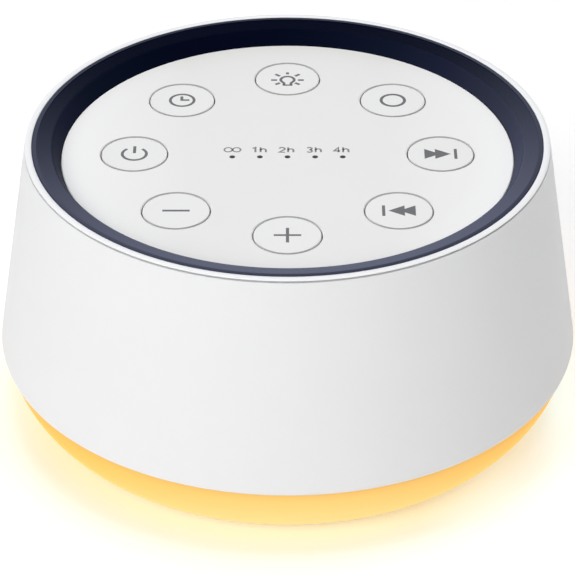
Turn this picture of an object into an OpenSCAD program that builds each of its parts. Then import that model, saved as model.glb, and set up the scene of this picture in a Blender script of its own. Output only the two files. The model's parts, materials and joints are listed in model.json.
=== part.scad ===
// Table-top white noise machine: tapered shell, recessed key panel, down-firing speaker and lit base.
// +Z is up, the origin is on the table under the middle of the machine, and its front faces -Y.
// Sizes are in millimetres.

/* [Body] */
// Height of the top rim above the table
overall_h = 60.3; // [58:0.1:66]
// Diameter of the shell at its lower edge
shell_d = 120; // [118:0.5:126]
// Diameter of the shell at its top edge
shell_top_d = 106.5; // [105:0.5:109]
// Wall thickness of the shell
shell_wall = 2.4; // [2:0.1:2.8]
// Radius on the shell's lower edge
shell_edge_r = 0.8; // [0.5:0.1:1.2]
// Thickness of the ledge inside the shell that carries the key panel
ledge_t = 2; // [1.6:0.1:2.6]
// Width of the upright ribs inside the shell
rib_w = 2; // [1.2:0.1:2.6]
// Thickness of the upright ribs inside the shell
rib_t = 1.4; // [1:0.1:2]

/* [Top] */
// Width of the white rim as seen from above
rim_w = 1.4; // [1.2:0.05:1.8]
// Depth of the rim's skirt below the top of the rim
rim_depth = 3.8; // [3.2:0.1:4.4]
// Thickness of the rim's skirt
rim_skirt_t = 0.7; // [0.5:0.05:0.8]
// Thickness of the rim's lip over the shell
rim_lip_t = 0.3; // [0.3:0.05:0.6]
// Height of the seam between rim and shell
seam_gap = 0.4; // [0.1:0.05:0.5]
// Width of the dark ring as seen from above
accent_w = 5.75; // [5.4:0.05:6.4]
// Wall thickness of the dark ring
accent_wall = 1.4; // [1.2:0.1:1.6]
// Fall of the dark ring's upper face towards the panel in degrees
accent_fall = 10; // [6:1:14]
// Slope of the dark ring's inner wall in degrees
accent_slope = 62; // [58:1:70]
// Radius of the shoulder between those two faces
accent_shoulder_r = 0.9; // [0.6:0.1:1.4]
// Depth of the key panel below the top rim
panel_recess = 3.8; // [3.5:0.1:4.2]
// Thickness of the key panel
panel_t = 2; // [1.6:0.1:2.4]
// Thickness of the key panel's flange under the dark ring
flange_t = 1.7; // [1.4:0.1:1.9]

/* [Keys] */
// Diameter of the circle on which the keys lie
key_ring_d = 62.2; // [60:0.2:64]
// Diameter of a key
key_d = 13.4; // [12.6:0.1:14.2]
// Gap round a key
key_gap = 0.2; // [0.15:0.05:0.3]
// Travel of a key
key_travel = 0.5; // [0.3:0.05:0.8]
// Thickness of a key's face
key_cap_t = 1.6; // [1.2:0.1:2]
// Wall thickness of a key's skirt
key_skirt_t = 1; // [0.8:0.1:1.4]
// Width of the flange that keeps a key in
key_flange_w = 0.9; // [0.7:0.1:1.2]
// Thickness of the flange that keeps a key in
key_flange_t = 0.9; // [0.7:0.1:1.2]
// Diameter of the stem under a key
key_stem_d = 4; // [3.4:0.1:5]
// Height of the guide collars under the panel
key_guide_h = 2.3; // [1.8:0.1:3]
// Wall thickness of the guide collars
key_guide_t = 1; // [0.8:0.1:1.3]

/* [Key switches] */
// Width of a switch body
switch_w = 6.2; // [5.6:0.1:7]
// Height of a switch body
switch_h = 3.5; // [3.2:0.1:4.2]
// Diameter of a switch plunger
plunger_d = 3.5; // [3:0.1:4]
// Height of the plunger that stands out of the switch
plunger_out = 1.7; // [1.3:0.1:2.2]
// Length of the plunger inside the switch
plunger_in = 1.3; // [1:0.1:1.5]
// Thickness of the key board
key_board_t = 1.6; // [1:0.2:2]
// Diameter of the circle of the key board's screws
board_boss_ring_d = 77.2; // [76:0.2:78]
// Diameter of the key board's screw bosses
board_boss_d = 5; // [4.4:0.1:5.4]

/* [Timer indicators] */
// Number of indicators
n_indicators = 5; // [3:1:5]
// Distance between indicators
indicator_pitch = 5.6; // [5:0.1:5.8]
// Distance of the indicator row behind the middle of the panel
indicator_y = -1.2; // [-2:0.1:0]
// Diameter of an indicator tip
tip_d = 1; // [0.8:0.1:1.4]
// Diameter of the light guide's lower pins
guide_pin_d = 2.2; // [1.8:0.1:2.6]
// Width of the light guide's bar
guide_bar_w = 3; // [2.8:0.1:3.6]
// Thickness of the light guide's bar
guide_bar_t = 1.4; // [1:0.1:1.8]

/* [Base] */
// Height of the feet below the base
foot_h = 1.7; // [1.3:0.1:2.2]
// Diameter of a foot
foot_d = 11; // [9:0.5:12]
// Depth of a foot's recess
foot_seat = 1; // [0.7:0.1:1.2]
// Diameter of the lit ring at the bottom
base_d = 104; // [103:0.5:106]
// Height of the lit ring below the shell
diffuser_h = 12.7; // [12.2:0.1:14]
// Wall thickness of the lit ring
diffuser_wall = 2.2; // [1.8:0.1:2.6]
// Radius of the lit ring's rounded side
diffuser_bulge_r = 22; // [20:0.5:30]
// Height of the lit ring's collar inside the shell
collar_h = 3.6; // [3:0.1:4.2]
// Wall thickness of the lit ring's collar
collar_t = 1.8; // [1.4:0.1:2.2]
// Width of the lit ring's bottom edge
bottom_edge_w = 2; // [1.6:0.1:2.4]
// Width of the lit ring's inner flange
inner_flange_w = 3.6; // [3:0.1:4]
// Thickness of the lit ring's inner flange
inner_flange_t = 2; // [1.6:0.1:2.4]
// Thickness of the base plate
plate_t = 2.2; // [2:0.1:2.6]
// Diameter of the circle of the base screws and feet
post_ring_d = 84; // [83:0.5:84.5]
// Diameter of the base screw posts
post_d = 7.4; // [7:0.1:7.8]
// Height of the base screw posts above the shell's lower edge
post_rise = 2.6; // [2.2:0.1:3]
// Length of the shell's bosses above the posts
boss_h = 16; // [15:0.5:18]

/* [Sound grille] */
// Number of rings of slots
n_grille_rings = 4; // [3:1:4]
// Distance between rings of slots
grille_pitch = 4; // [3.6:0.1:4.2]
// Width of a slot
grille_slot_w = 2; // [1.4:0.1:2.4]
// Width of the webs between slots
grille_web = 2.4; // [2:0.1:3]
// Number of webs
n_grille_webs = 3; // [2:1:4]

/* [Night light] */
// Number of lamps
n_lamps = 24; // [16:4:28]
// Width of the lamp board
lamp_board_w = 9; // [8.4:0.1:9.4]
// Thickness of the lamp board
lamp_board_t = 1.2; // [1:0.1:1.6]
// Wall thickness of the reflector
reflector_t = 1; // [0.8:0.1:1.2]

/* [Speaker] */
// Width of the speaker's square flange
speaker_w = 51; // [50:0.5:52]
// Distance between the speaker's screws
speaker_pitch = 41; // [40:0.5:41.5]
// Thickness of the basket's sheet
basket_t = 0.8; // [0.6:0.1:1]
// Height of the seat under the speaker
speaker_seat_h = 2; // [2:0.1:2.6]
// Diameter of the cone
cone_d = 38; // [37:0.5:39]
// Thickness of the cone
cone_t = 0.4; // [0.3:0.05:0.6]
// Depth of the cone
cone_depth = 6; // [5.4:0.1:6.2]
// Thickness of the gasket
gasket_t = 1; // [0.8:0.1:1.4]
// Thickness of the surround
surround_t = 0.4; // [0.3:0.05:0.5]
// Outer diameter of the voice coil's former
former_d = 14.4; // [13.6:0.1:15]
// Wall thickness of the voice coil's former
former_t = 0.2; // [0.15:0.05:0.25]
// Thickness of the winding
winding_t = 0.3; // [0.2:0.05:0.4]
// Gap between the voice coil and the magnet system
coil_gap = 0.25; // [0.2:0.05:0.35]
// Travel of the cone either way
cone_travel = 1; // [0.5:0.1:1]
// Diameter of the magnet
magnet_d = 33; // [31:0.5:36]
// Height of the magnet
magnet_h = 7; // [6:0.5:8]
// Thickness of the front plate and of the yoke's plate
pole_plate_t = 3; // [2.5:0.1:3.2]

/* [Main board] */
// Height of the main board above the table
main_board_z = 24.4; // [24:0.1:25.5]
// Thickness of the main board
main_board_t = 1.6; // [1.2:0.1:2]
// Width of the main board
main_board_w = 48; // [47:0.5:48.5]
// Distance of the main board's front edge from the middle
main_board_front = 27.5; // [27:0.1:28]
// Gap between the main board's rear edge and the shell
main_board_gap = 2.4; // [1.6:0.1:2.8]
// Diameter of the main board's standoffs
standoff_d = 5; // [4.4:0.1:5.2]

/* [Power socket] */
// Width of the socket's metal shell
socket_w = 8.94; // [8.8:0.02:9.1]
// Height of the socket's metal shell
socket_h = 3.26; // [3.1:0.02:3.4]
// Depth of the socket
socket_depth = 7.35; // [7:0.05:7.8]
// Width of the plug's opening in the shell
port_w = 13; // [12.4:0.1:14]
// Height of the plug's opening in the shell
port_h = 7.2; // [6.8:0.1:7.8]
// Corner radius of the plug's opening
port_r = 1.2; // [0.8:0.1:1.2]

/* [Screws] */
// Diameter of the small screws
small_screw_d = 2; // [1.8:0.1:2.2]
// Diameter of the small screws' heads
small_head_d = 3.8; // [3.4:0.1:4]
// Height of the small screws' heads
small_head_h = 1.4; // [1.2:0.1:1.6]
// Diameter of the base screws
base_screw_d = 2.9; // [2.6:0.1:3]
// Diameter of the base screws' heads
base_head_d = 5.2; // [4.8:0.1:5.4]
// Height of the base screws' heads
base_head_h = 2; // [1.6:0.1:2.2]
// Length of the base screws
base_screw_l = 14; // [12:0.5:15]

/* [Fits] */
// Gap between pieces that are pushed together
push_fit = 0.05; // [0.03:0.01:0.08]
// Gap between pieces that lie side by side
side_gap = 0.2; // [0.15:0.05:0.3]
// Radial clearance of a screw in a plain hole
screw_gap = 0.25; // [0.2:0.05:0.4]

/* [Hidden] */

$fn = 72;
eps = 0.01;
overcut = 1;

white = [0.93, 0.93, 0.93];
navy = [0.10, 0.12, 0.20];
amber = [1.0, 0.80, 0.42];
steel = [0.72, 0.73, 0.75];
dark = [0.12, 0.12, 0.13];
board_green = [0.10, 0.36, 0.22];
black = [0.05, 0.05, 0.06];

// Where each key lies, as an angle from +X
POWER = 180;
TIMER = 135;
LIGHT = 90;
MODE = 45;
NEXT = 0;
PREVIOUS = -45;
VOLUME_UP = -90;
VOLUME_DOWN = -135;
KEY_ANGLES = [POWER, TIMER, LIGHT, MODE, NEXT, PREVIOUS, VOLUME_UP, VOLUME_DOWN];

// Heights of the base
z_base = foot_h;
z_shell = z_base + diffuser_h;
plate_recess = 0.1;
z_plate = z_base + plate_recess;
z_plate_top = z_plate + plate_t;
z_inner_flange = z_plate_top + inner_flange_t;
z_collar = z_shell + collar_h;
z_lamp_board = z_collar + lamp_board_t;
z_post = z_shell + post_rise;
post_cap = 2;

// Heights of the top
z_top = overall_h;
z_panel = z_top - panel_recess;
z_under = z_panel - panel_t;
flange_drop = 0.5;
z_ledge = z_under - flange_drop;
z_flange = z_ledge + flange_t;
z_rabbet = z_top - rim_depth;
z_seam = z_top - rim_lip_t - seam_gap;
accent_sink = 0.1;
z_accent = z_top - accent_sink;

// Radius of the shell's outer and inner faces at a height
taper = (shell_d - shell_top_d) / 2 / (z_seam - z_shell);
taper_angle = atan(taper);
function shell_r(z) = shell_d / 2 - (z - z_shell) * taper;
function shell_in(z) = shell_r(z) - shell_wall;

// Radii of the top
rim_setback = 0.1;
r_rim = shell_top_d / 2 - rim_setback;
r_rim_in = r_rim - rim_w;
r_skirt = r_rim_in + rim_skirt_t;
r_rabbet = r_skirt + push_fit;
r_accent = r_rim_in - push_fit;
r_accent_wall = r_accent - accent_wall;
r_accent_in = r_accent - accent_w;
panel_gap = 0.1;
r_panel = r_accent_in - panel_gap;
ledge_w = 1.2;
r_ledge = r_panel - ledge_w;
r_flange = r_accent_wall - side_gap;
panel_boss_d = 4.2;
boss_inset = 0.25;
r_panel_screw = r_accent_in + panel_boss_d / 2 + boss_inset;
panel_screw_l = 5.5;
screw_end_gap = 0.3;
z_panel_screw = z_ledge - ledge_t + panel_screw_l;
PANEL_SCREW_ANGLES = [for (i = [0:5]) 30 + 60 * i];

// Radii of the base
r_base = base_d / 2;
r_plate = r_base - bottom_edge_w - side_gap;
r_inner_flange = r_plate - inner_flange_w;
r_collar = shell_in(z_collar) - side_gap;
r_collar_in = r_collar - collar_t;
r_lamp_board = shell_in(z_lamp_board) - side_gap;
r_lamp_board_in = r_lamp_board - lamp_board_w;
r_post = post_ring_d / 2;
POST_ANGLES = [45, 135, 225, 315];
RIB_ANGLES = [for (i = [0:7]) 22.5 + 45 * i];

// Heights of the keys and the key board, from the panel down
rest_gap = 0.1;
r_key = key_d / 2;
r_key_hole = r_key + key_gap;
r_key_guide = r_key_hole + key_guide_t;
r_key_flange = r_key + key_flange_w;
key_edge_r = 0.25;
z_key_under = z_panel - key_cap_t;
z_guide = z_under - key_guide_h;
z_key_flange = z_guide - rest_gap;
stem_drop = 0.9;
z_stem = z_key_flange - key_flange_t - stem_drop;
z_switch = z_stem - plunger_out;
z_key_board = z_switch - switch_h;
z_key_board_under = z_key_board - key_board_t;
board_rim_w = 0.4;
r_key_board = board_boss_ring_d / 2 + board_boss_d / 2 + board_rim_w;
BOARD_BOSS_ANGLES = [for (i = [0:3]) 22.5 + 90 * i];
board_screw_l = 6;

// Light guide
z_bar = z_under - rest_gap;
pin_lamp_gap = 0.4;
indicator_row = [for (i = [0:n_indicators - 1]) (i - (n_indicators - 1) / 2) * indicator_pitch];
stake_d = 1.6;
stake_gap = 2.4;
stake_x = indicator_row[n_indicators - 1] + guide_pin_d / 2 + stake_gap;
guide_bar_end = 1.1;
shroud_h = 4.9;
shroud_wall = 0.8;
shroud_gap = 0.3;
indicator_lamp = [1.6, 0.8, 0.6];

// Speaker, from its seat up
z_seat = z_plate_top + speaker_seat_h;
z_gasket = z_seat + gasket_t;
z_speaker = z_gasket + surround_t;
z_basket = z_speaker + basket_t;
r_cone = cone_d / 2;
roll_w = 2.8;
roll_bulge = 0.1;
r_roll = r_cone + roll_w;
r_gasket_in = r_roll + 0.2;
r_gasket = speaker_w / 2 - 0.7;
spider_rise = 0.7;
z_shelf = z_basket + cone_depth + spider_rise;
cone_lip_w = 1;
spider_t = 0.4;
spider_wave_h = 0.5;
spider_edge_gap = 0.3;
r_shelf_in = 15.2;
r_shelf = 18;
z_basket_back = z_shelf + 2.9;
z_front_plate = z_basket_back + basket_t;
z_magnet = z_front_plate + pole_plate_t;
z_yoke = z_magnet + magnet_h;
r_former = former_d / 2;
r_former_in = r_former - former_t;
r_pole = r_former_in - coil_gap;
r_gap = r_former + winding_t + coil_gap;
magnet_bore_gap = 2;
magnet_lip_w = 1;
yoke_bevel = 0.6;
r_plate_outer = magnet_d / 2 - magnet_lip_w;
winding_l = pole_plate_t + 2 * cone_travel;
former_end = 0.6;
z_winding = z_front_plate + pole_plate_t / 2 - winding_l / 2;
z_cone_neck = z_speaker + cone_depth;
speaker_boss_d = 5.4;
speaker_screw_l = z_basket - z_plate_top + 0.4;
SPEAKER_CORNERS = [for (x = [-1, 1], y = [-1, 1]) [x, y] * speaker_pitch / 2];

// Main board
z_main = main_board_z + main_board_t;
main_board_rear = shell_in(z_main) - main_board_gap;
board_corner = 12;
board_shoulder_y = main_board_rear - 8.5;
standoff_x = 20.5;
standoff_inset = 3;
STANDOFFS = [
    [-standoff_x, main_board_front + standoff_inset], [standoff_x, main_board_front + standoff_inset],
    [0, r_inner_flange - (standoff_d + side_gap) / 2]
];
socket_y = shell_in(z_main) - 0.6;
z_socket = z_main + socket_h / 2;

// Leads
lead_d = 1.3;
lead_bend_r = 2;
lead_rise = 2.4;
z_lead = z_main + lead_rise;
lead_pitch = 4;
lamp_lead_pitch = 2;
lead_entry = 2;
lead_socket = [4, 4.5, 4.8];
lead_socket_inset = 3;
terminal_inset = 1.5;
lead_board_gap = 0.5;
lug_rise = 2;
speaker_socket_front = main_board_front + lead_socket_inset;
terminal_y = speaker_w / 2 - terminal_inset;
speaker_lead_y = main_board_front - lead_d / 2 - lead_board_gap;
lamp_lead_inset = 3.5;
lamp_lead_y = 39.5;
lamp_lead_x = -sqrt(pow(r_lamp_board_in + lamp_lead_inset, 2) - pow(lamp_lead_y, 2));
lamp_socket_x = 1.5 - main_board_w / 2;
ribbon_w = 12;
ribbon_t = 0.8;
ribbon_socket_h = 4.2;
ribbon_socket_w = 4.5;
ribbon_socket_end = 1;
ribbon_lower_y = 38;
ribbon_upper_y = 34;

// Points of an arc round c, from angle a0 to a1
function arc(c, r, a0, a1, n = 6) = [
    for (i = [0:n]) let (a = a0 + (a1 - a0) * i / n) c + r * [cos(a), sin(a)]
];

// Turns an outline in radius and height into a ring
module revolve(points) {
    rotate_extrude($fn = 144) polygon(points);
}

// Cylinder from z0 to z1
module rod(r, z0, z1) {
    translate([0, 0, z0]) cylinder(r = r, h = z1 - z0);
}

// Ring between two radii, from z0 to z1
module hoop(r_out, r_in, z0, z1) {
    difference() {
        rod(r_out, z0, z1);
        rod(r_in, z0 - overcut, z1 + overcut);
    }
}

// Box centred on x and y, from z0 to z1
module block(size, z0, z1) {
    translate([-size[0] / 2, -size[1] / 2, z0]) cube([size[0], size[1], z1 - z0]);
}

// Upright plate whose outline is given in radius and height
module radial_plate(angle, t, points) {
    rotate([0, 0, angle]) rotate([90, 0, 0]) translate([0, 0, -t / 2]) linear_extrude(height = t)
        polygon(points);
}

// Copies its children round a circle
module around(angles, r) {
    for (a = angles) rotate([0, 0, a]) translate([r, 0, 0]) children();
}

// Rectangle with rounded corners
module rounded_rect(w, h, r) {
    square([w - 2 * r, h], center = true);
    square([w, h - 2 * r], center = true);
    for (x = [-1, 1], y = [-1, 1]) translate([x * (w / 2 - r), y * (h / 2 - r)]) circle(r = r, $fn = 32);
}

// Pan-head screw with its head's seat at z, pointing up or down
module screw(d, head_d, head_h, l, z, up = true) {
    translate([0, 0, z]) rotate([up ? 0 : 180, 0, 0]) {
        translate([0, 0, -head_h]) cylinder(d = head_d, h = head_h);
        cylinder(d = d, h = l);
    }
}

// ---------------------------------------------------------------- shell and top

shell_top_r = 0.15;

function shell_outline() = concat(
    arc([shell_r(z_shell + shell_edge_r) - shell_edge_r / cos(taper_angle), z_shell + shell_edge_r],
        shell_edge_r, -90, taper_angle),
    arc([shell_r(z_seam - shell_top_r) - shell_top_r / cos(taper_angle), z_seam - shell_top_r],
        shell_top_r, taper_angle, 90, 3),
    [
        [r_rabbet, z_seam], [r_rabbet, z_rabbet],
        [r_rim_in, z_rabbet], [r_rim_in, z_ledge],
        [r_ledge, z_ledge], [r_ledge, z_ledge - ledge_t],
        [shell_in(z_ledge - ledge_t), z_ledge - ledge_t],
        [shell_in(z_shell), z_shell]
    ]
);

boss_web_gap = 0.6;
port_reach = 2;

// Ribs stop just above the lamp board, which they hold down on the lit ring's collar
module shell_ribs() {
    z0 = z_lamp_board + side_gap;
    z1 = z_ledge - ledge_t + eps;
    for (a = RIB_ANGLES) radial_plate(a, rib_t, [
        [shell_in(z0) - rib_w, z0], [shell_in(z0) + shell_wall / 2, z0],
        [shell_in(z1) + shell_wall / 2, z1], [shell_in(z1) - rib_w, z1]
    ]);
}

module shell_bosses() {
    z0 = z_lamp_board + boss_web_gap;
    z1 = z_post + boss_h;
    around(POST_ANGLES, r_post) rod(post_d / 2, z_post, z1);
    for (a = POST_ANGLES) radial_plate(a, rib_t, [
        [r_post, z0], [shell_in(z0) + shell_wall / 2, z0], [shell_in(z1) + shell_wall / 2, z1], [r_post, z1]
    ]);
}

module port(y0, y1) {
    translate([0, y1, z_socket]) rotate([90, 0, 0]) linear_extrude(height = y1 - y0)
        rounded_rect(port_w, port_h, port_r);
}

module outer_shell() {
    color(white) difference() {
        union() {
            revolve(shell_outline());
            shell_ribs();
            shell_bosses();
        }
        around(POST_ANGLES, r_post) rod(base_screw_d / 2 + push_fit, z_post - overcut, z_post + base_screw_l);
        around(PANEL_SCREW_ANGLES, r_panel_screw)
            rod(small_screw_d / 2 + screw_gap, z_ledge - ledge_t - overcut, z_ledge + overcut);
        port(shell_in(z_socket) - rib_w - port_reach, shell_d / 2 + overcut);
    }
}

// White rim: a crowned lip over the shell's edge and a skirt that drops into its rabbet
rim_edge_r = 0.15;
rim_crown = 0.1;

module top_rim() {
    mid = (r_rim + r_rim_in) / 2;
    color(white) revolve(concat(
        arc([r_rim - rim_edge_r, z_top - rim_crown - rim_edge_r], rim_edge_r, 0, 80, 4),
        [[mid + rim_w / 5, z_top - rim_crown / 6], [mid, z_top], [mid - rim_w / 5, z_top - rim_crown / 6]],
        arc([r_rim_in + rim_edge_r, z_top - rim_crown - rim_edge_r], rim_edge_r, 100, 180, 4),
        [
            [r_rim_in, z_rabbet], [r_skirt, z_rabbet],
            [r_skirt, z_top - rim_lip_t], [r_rim, z_top - rim_lip_t]
        ]
    ));
}

// Dark ring: a narrow land at the rim, a fine step, a gently falling face, a shoulder and a sloping wall
land_w = 0.75;
land_edge_r = 0.15;
land_step = 0.12;
r_land = r_accent - land_edge_r - land_w;
z_brow = z_accent - land_step;

// Where the falling face and the wall meet when both are moved into the ring by a depth
function accent_corner(depth) =
    let (
        f = depth - z_brow * cos(accent_fall) + r_land * sin(accent_fall),
        w = depth - z_panel * cos(accent_slope) + r_accent_in * sin(accent_slope)
    )
    [w * cos(accent_fall) - f * cos(accent_slope), w * sin(accent_fall) - f * sin(accent_slope)]
        / sin(accent_slope - accent_fall);

function accent_outline() = concat(
    [[r_accent, z_ledge]],
    arc([r_accent - land_edge_r, z_accent - land_edge_r], land_edge_r, 0, 90, 3),
    [[r_land, z_accent], [r_land, z_brow]],
    arc(accent_corner(accent_shoulder_r), accent_shoulder_r, 90 + accent_fall, 90 + accent_slope, 6),
    [[r_accent_in, z_panel], [r_accent_in, z_flange]]
);

module accent_body() {
    revolve(concat(accent_outline(), [[r_accent_wall, z_flange], [r_accent_wall, z_ledge]]));
}

module accent_hollow() {
    foot_in = r_accent_in + accent_wall / sin(accent_slope) - (z_panel - z_flange) / tan(accent_slope);
    ceiling = z_brow - (r_land - r_accent_wall) * tan(accent_fall) - accent_wall / cos(accent_fall);
    revolve([
        [foot_in, z_flange - overcut], [foot_in, z_flange], accent_corner(accent_wall),
        [r_accent_wall, ceiling], [r_accent_wall, z_flange - overcut]
    ]);
}

module accent_ring() {
    color(navy) difference() {
        union() {
            difference() {
                accent_body();
                accent_hollow();
            }
            intersection() {
                accent_body();
                around(PANEL_SCREW_ANGLES, r_panel_screw)
                    rod(panel_boss_d / 2, z_flange, z_brow - accent_wall + eps);
            }
        }
        around(PANEL_SCREW_ANGLES, r_panel_screw)
            rod(small_screw_d / 2 + push_fit, z_flange - overcut, z_panel_screw + screw_end_gap);
    }
}

// ---------------------------------------------------------------- key panel

panel_edge_r = 0.25;
panel_rib_t = 1.2;
panel_rib_h = 1.8;
r_centre_rib = 19;
panel_foot_w = 1;
tab_w = 1.8;
tab_reach = 0.7;
stake_head_w = 0.5;
stake_head_t = 0.6;

function panel_outline() = concat(
    [
        [0, z_under], [r_ledge - panel_foot_w, z_under], [r_ledge - panel_foot_w, z_ledge],
        [r_flange, z_ledge], [r_flange, z_flange], [r_panel, z_flange]
    ],
    arc([r_panel - panel_edge_r, z_panel - panel_edge_r], panel_edge_r, 0, 90, 3),
    [[0, z_panel]]
);

module panel_ribs() {
    z0 = z_under - panel_rib_h;
    hoop(r_centre_rib, r_centre_rib - panel_rib_t, z0, z_under + eps);
    for (a = RIB_ANGLES) radial_plate(a, panel_rib_t, [
        [r_centre_rib - panel_rib_t / 2, z0], [board_boss_ring_d / 2, z0],
        [board_boss_ring_d / 2, z_under + eps], [r_centre_rib - panel_rib_t / 2, z_under + eps]
    ]);
}

// Two stakes whose heads hold up the light guide's bar
module stakes() {
    for (s = [-1, 1]) translate([s * stake_x, indicator_y, 0]) {
        rod(stake_d / 2, z_bar - guide_bar_t - stake_head_t, z_under + eps);
        rod(stake_d / 2 + stake_head_w, z_bar - guide_bar_t - stake_head_t, z_bar - guide_bar_t);
    }
}

module key_panel() {
    color(white) difference() {
        union() {
            revolve(panel_outline());
            around(KEY_ANGLES, key_ring_d / 2) rod(r_key_guide, z_guide, z_under + eps);
            around(BOARD_BOSS_ANGLES, board_boss_ring_d / 2) rod(board_boss_d / 2, z_key_board, z_under + eps);
            panel_ribs();
            stakes();
        }
        around(KEY_ANGLES, key_ring_d / 2) {
            rod(r_key_hole, z_guide - overcut, z_panel + overcut);
            translate([0, -tab_w / 2 - key_gap, z_guide - overcut])
                cube([r_key_guide + overcut, tab_w + 2 * key_gap, z_under - z_guide + overcut]);
        }
        around(BOARD_BOSS_ANGLES, board_boss_ring_d / 2)
            rod(small_screw_d / 2 + push_fit, z_key_board - overcut, z_key_board + board_screw_l);
        around(PANEL_SCREW_ANGLES, r_panel_screw)
            rod(small_screw_d / 2 + screw_gap, z_ledge - overcut, z_flange + overcut);
        for (x = indicator_row) translate([x, indicator_y, 0])
            rod(tip_d / 2 + push_fit, z_under - overcut, z_panel + overcut);
    }
}

// ---------------------------------------------------------------- keys and their switches

key_web_t = 0.8;
key_web_h = 2;
key_overlap = 0.4;
tab_top_gap = 0.3;
plunger_chamfer = 0.2;
switch_leg = [1.2, 0.7, 0.2];
switch_lid_t = 0.3;
switch_lid_inset = 0.3;

function key_outline() = concat(
    [[0, z_panel]],
    arc([r_key - key_edge_r, z_panel - key_edge_r], key_edge_r, 90, 0, 3),
    [
        [r_key, z_key_flange], [r_key_flange, z_key_flange],
        [r_key_flange, z_key_flange - key_flange_t], [r_key - key_skirt_t, z_key_flange - key_flange_t],
        [r_key - key_skirt_t, z_key_under], [key_stem_d / 2, z_key_under],
        [key_stem_d / 2, z_stem], [0, z_stem]
    ]
);

module key(angle) {
    web_l = 2 * (r_key - key_skirt_t) + key_overlap;
    color(white) rotate([0, 0, angle]) translate([key_ring_d / 2, 0, 0]) {
        revolve(key_outline());
        for (a = [0, 90]) rotate([0, 0, a])
            block([web_l, key_web_t], z_key_under - key_web_h, z_key_under + eps);
        // The tab that slides in the collar's slot and keeps the key from turning
        translate([r_key - key_overlap, -tab_w / 2, z_key_flange - eps])
            cube([key_overlap + tab_reach, tab_w, z_under - tab_top_gap - z_key_flange]);
    }
}

module plunger(angle) {
    c = plunger_chamfer;
    r = plunger_d / 2;
    z0 = z_switch - plunger_in;
    color(dark) rotate([0, 0, angle]) translate([key_ring_d / 2, 0, 0])
        revolve([[0, z0], [r - c, z0], [r, z0 + c], [r, z_stem - c], [r - c, z_stem], [0, z_stem]]);
}

module switch_body() {
    leg = switch_leg;
    lid_w = switch_w - 2 * switch_lid_inset;
    difference() {
        union() {
            block([switch_w, switch_w], z_key_board, z_switch - switch_lid_t);
            block([lid_w, lid_w], z_switch - switch_lid_t - eps, z_switch);
        }
        rod(plunger_d / 2 + push_fit, z_switch - plunger_in - key_travel - rest_gap, z_switch + overcut);
    }
    for (x = [-1, 1], y = [-1, 1]) translate([x * (switch_w / 2 + leg[0] / 2 - eps), y * switch_w / 3, 0])
        block([leg[0], leg[1]], z_key_board, z_key_board + leg[2]);
}

module switch_bodies() {
    color(dark) around(KEY_ANGLES, key_ring_d / 2) switch_body();
}

module key_board() {
    color(board_green) difference() {
        rod(r_key_board, z_key_board_under, z_key_board);
        around(BOARD_BOSS_ANGLES, board_boss_ring_d / 2)
            rod(small_screw_d / 2 + screw_gap, z_key_board_under - overcut, z_key_board + overcut);
    }
}

module panel_screws() {
    color(steel) around(PANEL_SCREW_ANGLES, r_panel_screw)
        screw(small_screw_d, small_head_d, small_head_h, panel_screw_l, z_ledge - ledge_t);
}

module key_board_screws() {
    color(steel) around(BOARD_BOSS_ANGLES, board_boss_ring_d / 2)
        screw(small_screw_d, small_head_d, small_head_h, board_screw_l, z_key_board_under);
}

// ---------------------------------------------------------------- timer indicators

module light_guide() {
    pin_end = z_key_board + indicator_lamp[2] + pin_lamp_gap;
    color(dark) translate([0, indicator_y, 0]) {
        difference() {
            block([2 * (stake_x + stake_d / 2 + guide_bar_end), guide_bar_w], z_bar - guide_bar_t, z_bar);
            for (s = [-1, 1]) translate([s * stake_x, 0, 0])
                rod(stake_d / 2 + push_fit, z_bar - guide_bar_t - overcut, z_bar + overcut);
        }
        for (x = indicator_row) translate([x, 0, 0]) {
            rod(tip_d / 2, z_bar - eps, z_panel);
            rod(guide_pin_d / 2, pin_end, z_bar - guide_bar_t + eps);
        }
    }
}

module light_shroud() {
    bore = guide_pin_d + 2 * shroud_gap;
    w = bore + 2 * shroud_wall;
    z1 = z_key_board + shroud_h;
    color(black) translate([0, indicator_y, 0]) difference() {
        block([indicator_row[n_indicators - 1] * 2 + w, w], z_key_board, z1);
        for (x = indicator_row) translate([x, 0, 0]) rod(bore / 2, z_key_board - overcut, z1 + overcut);
    }
}

module indicator_lamps() {
    color([0.95, 0.92, 0.7]) for (x = indicator_row) translate([x, indicator_y, 0])
        block([indicator_lamp[0], indicator_lamp[1]], z_key_board, z_key_board + indicator_lamp[2]);
}

// ---------------------------------------------------------------- lit ring and night light

bulge_setback = 0.1;
bulge_top = [shell_d / 2 - shell_edge_r - bulge_setback, z_shell];
bulge_bottom = [r_base, z_base];
bulge_chord = bulge_bottom - bulge_top;
bulge_dir = bulge_chord / norm(bulge_chord);
bulge_c = (bulge_top + bulge_bottom) / 2
    + [bulge_dir[1], -bulge_dir[0]] * sqrt(pow(diffuser_bulge_r, 2) - pow(norm(bulge_chord) / 2, 2));
function bulge_angle(p) = atan2(p[1] - bulge_c[1], p[0] - bulge_c[0]);
bottom_bevel = 0.4;
r_bulge_in = diffuser_bulge_r - diffuser_wall;

// Radius of the lit ring's inner face at a height
function bulge_in(z) = min(r_collar_in, bulge_c[0] + sqrt(pow(r_bulge_in, 2) - pow(z - bulge_c[1], 2)));

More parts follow.
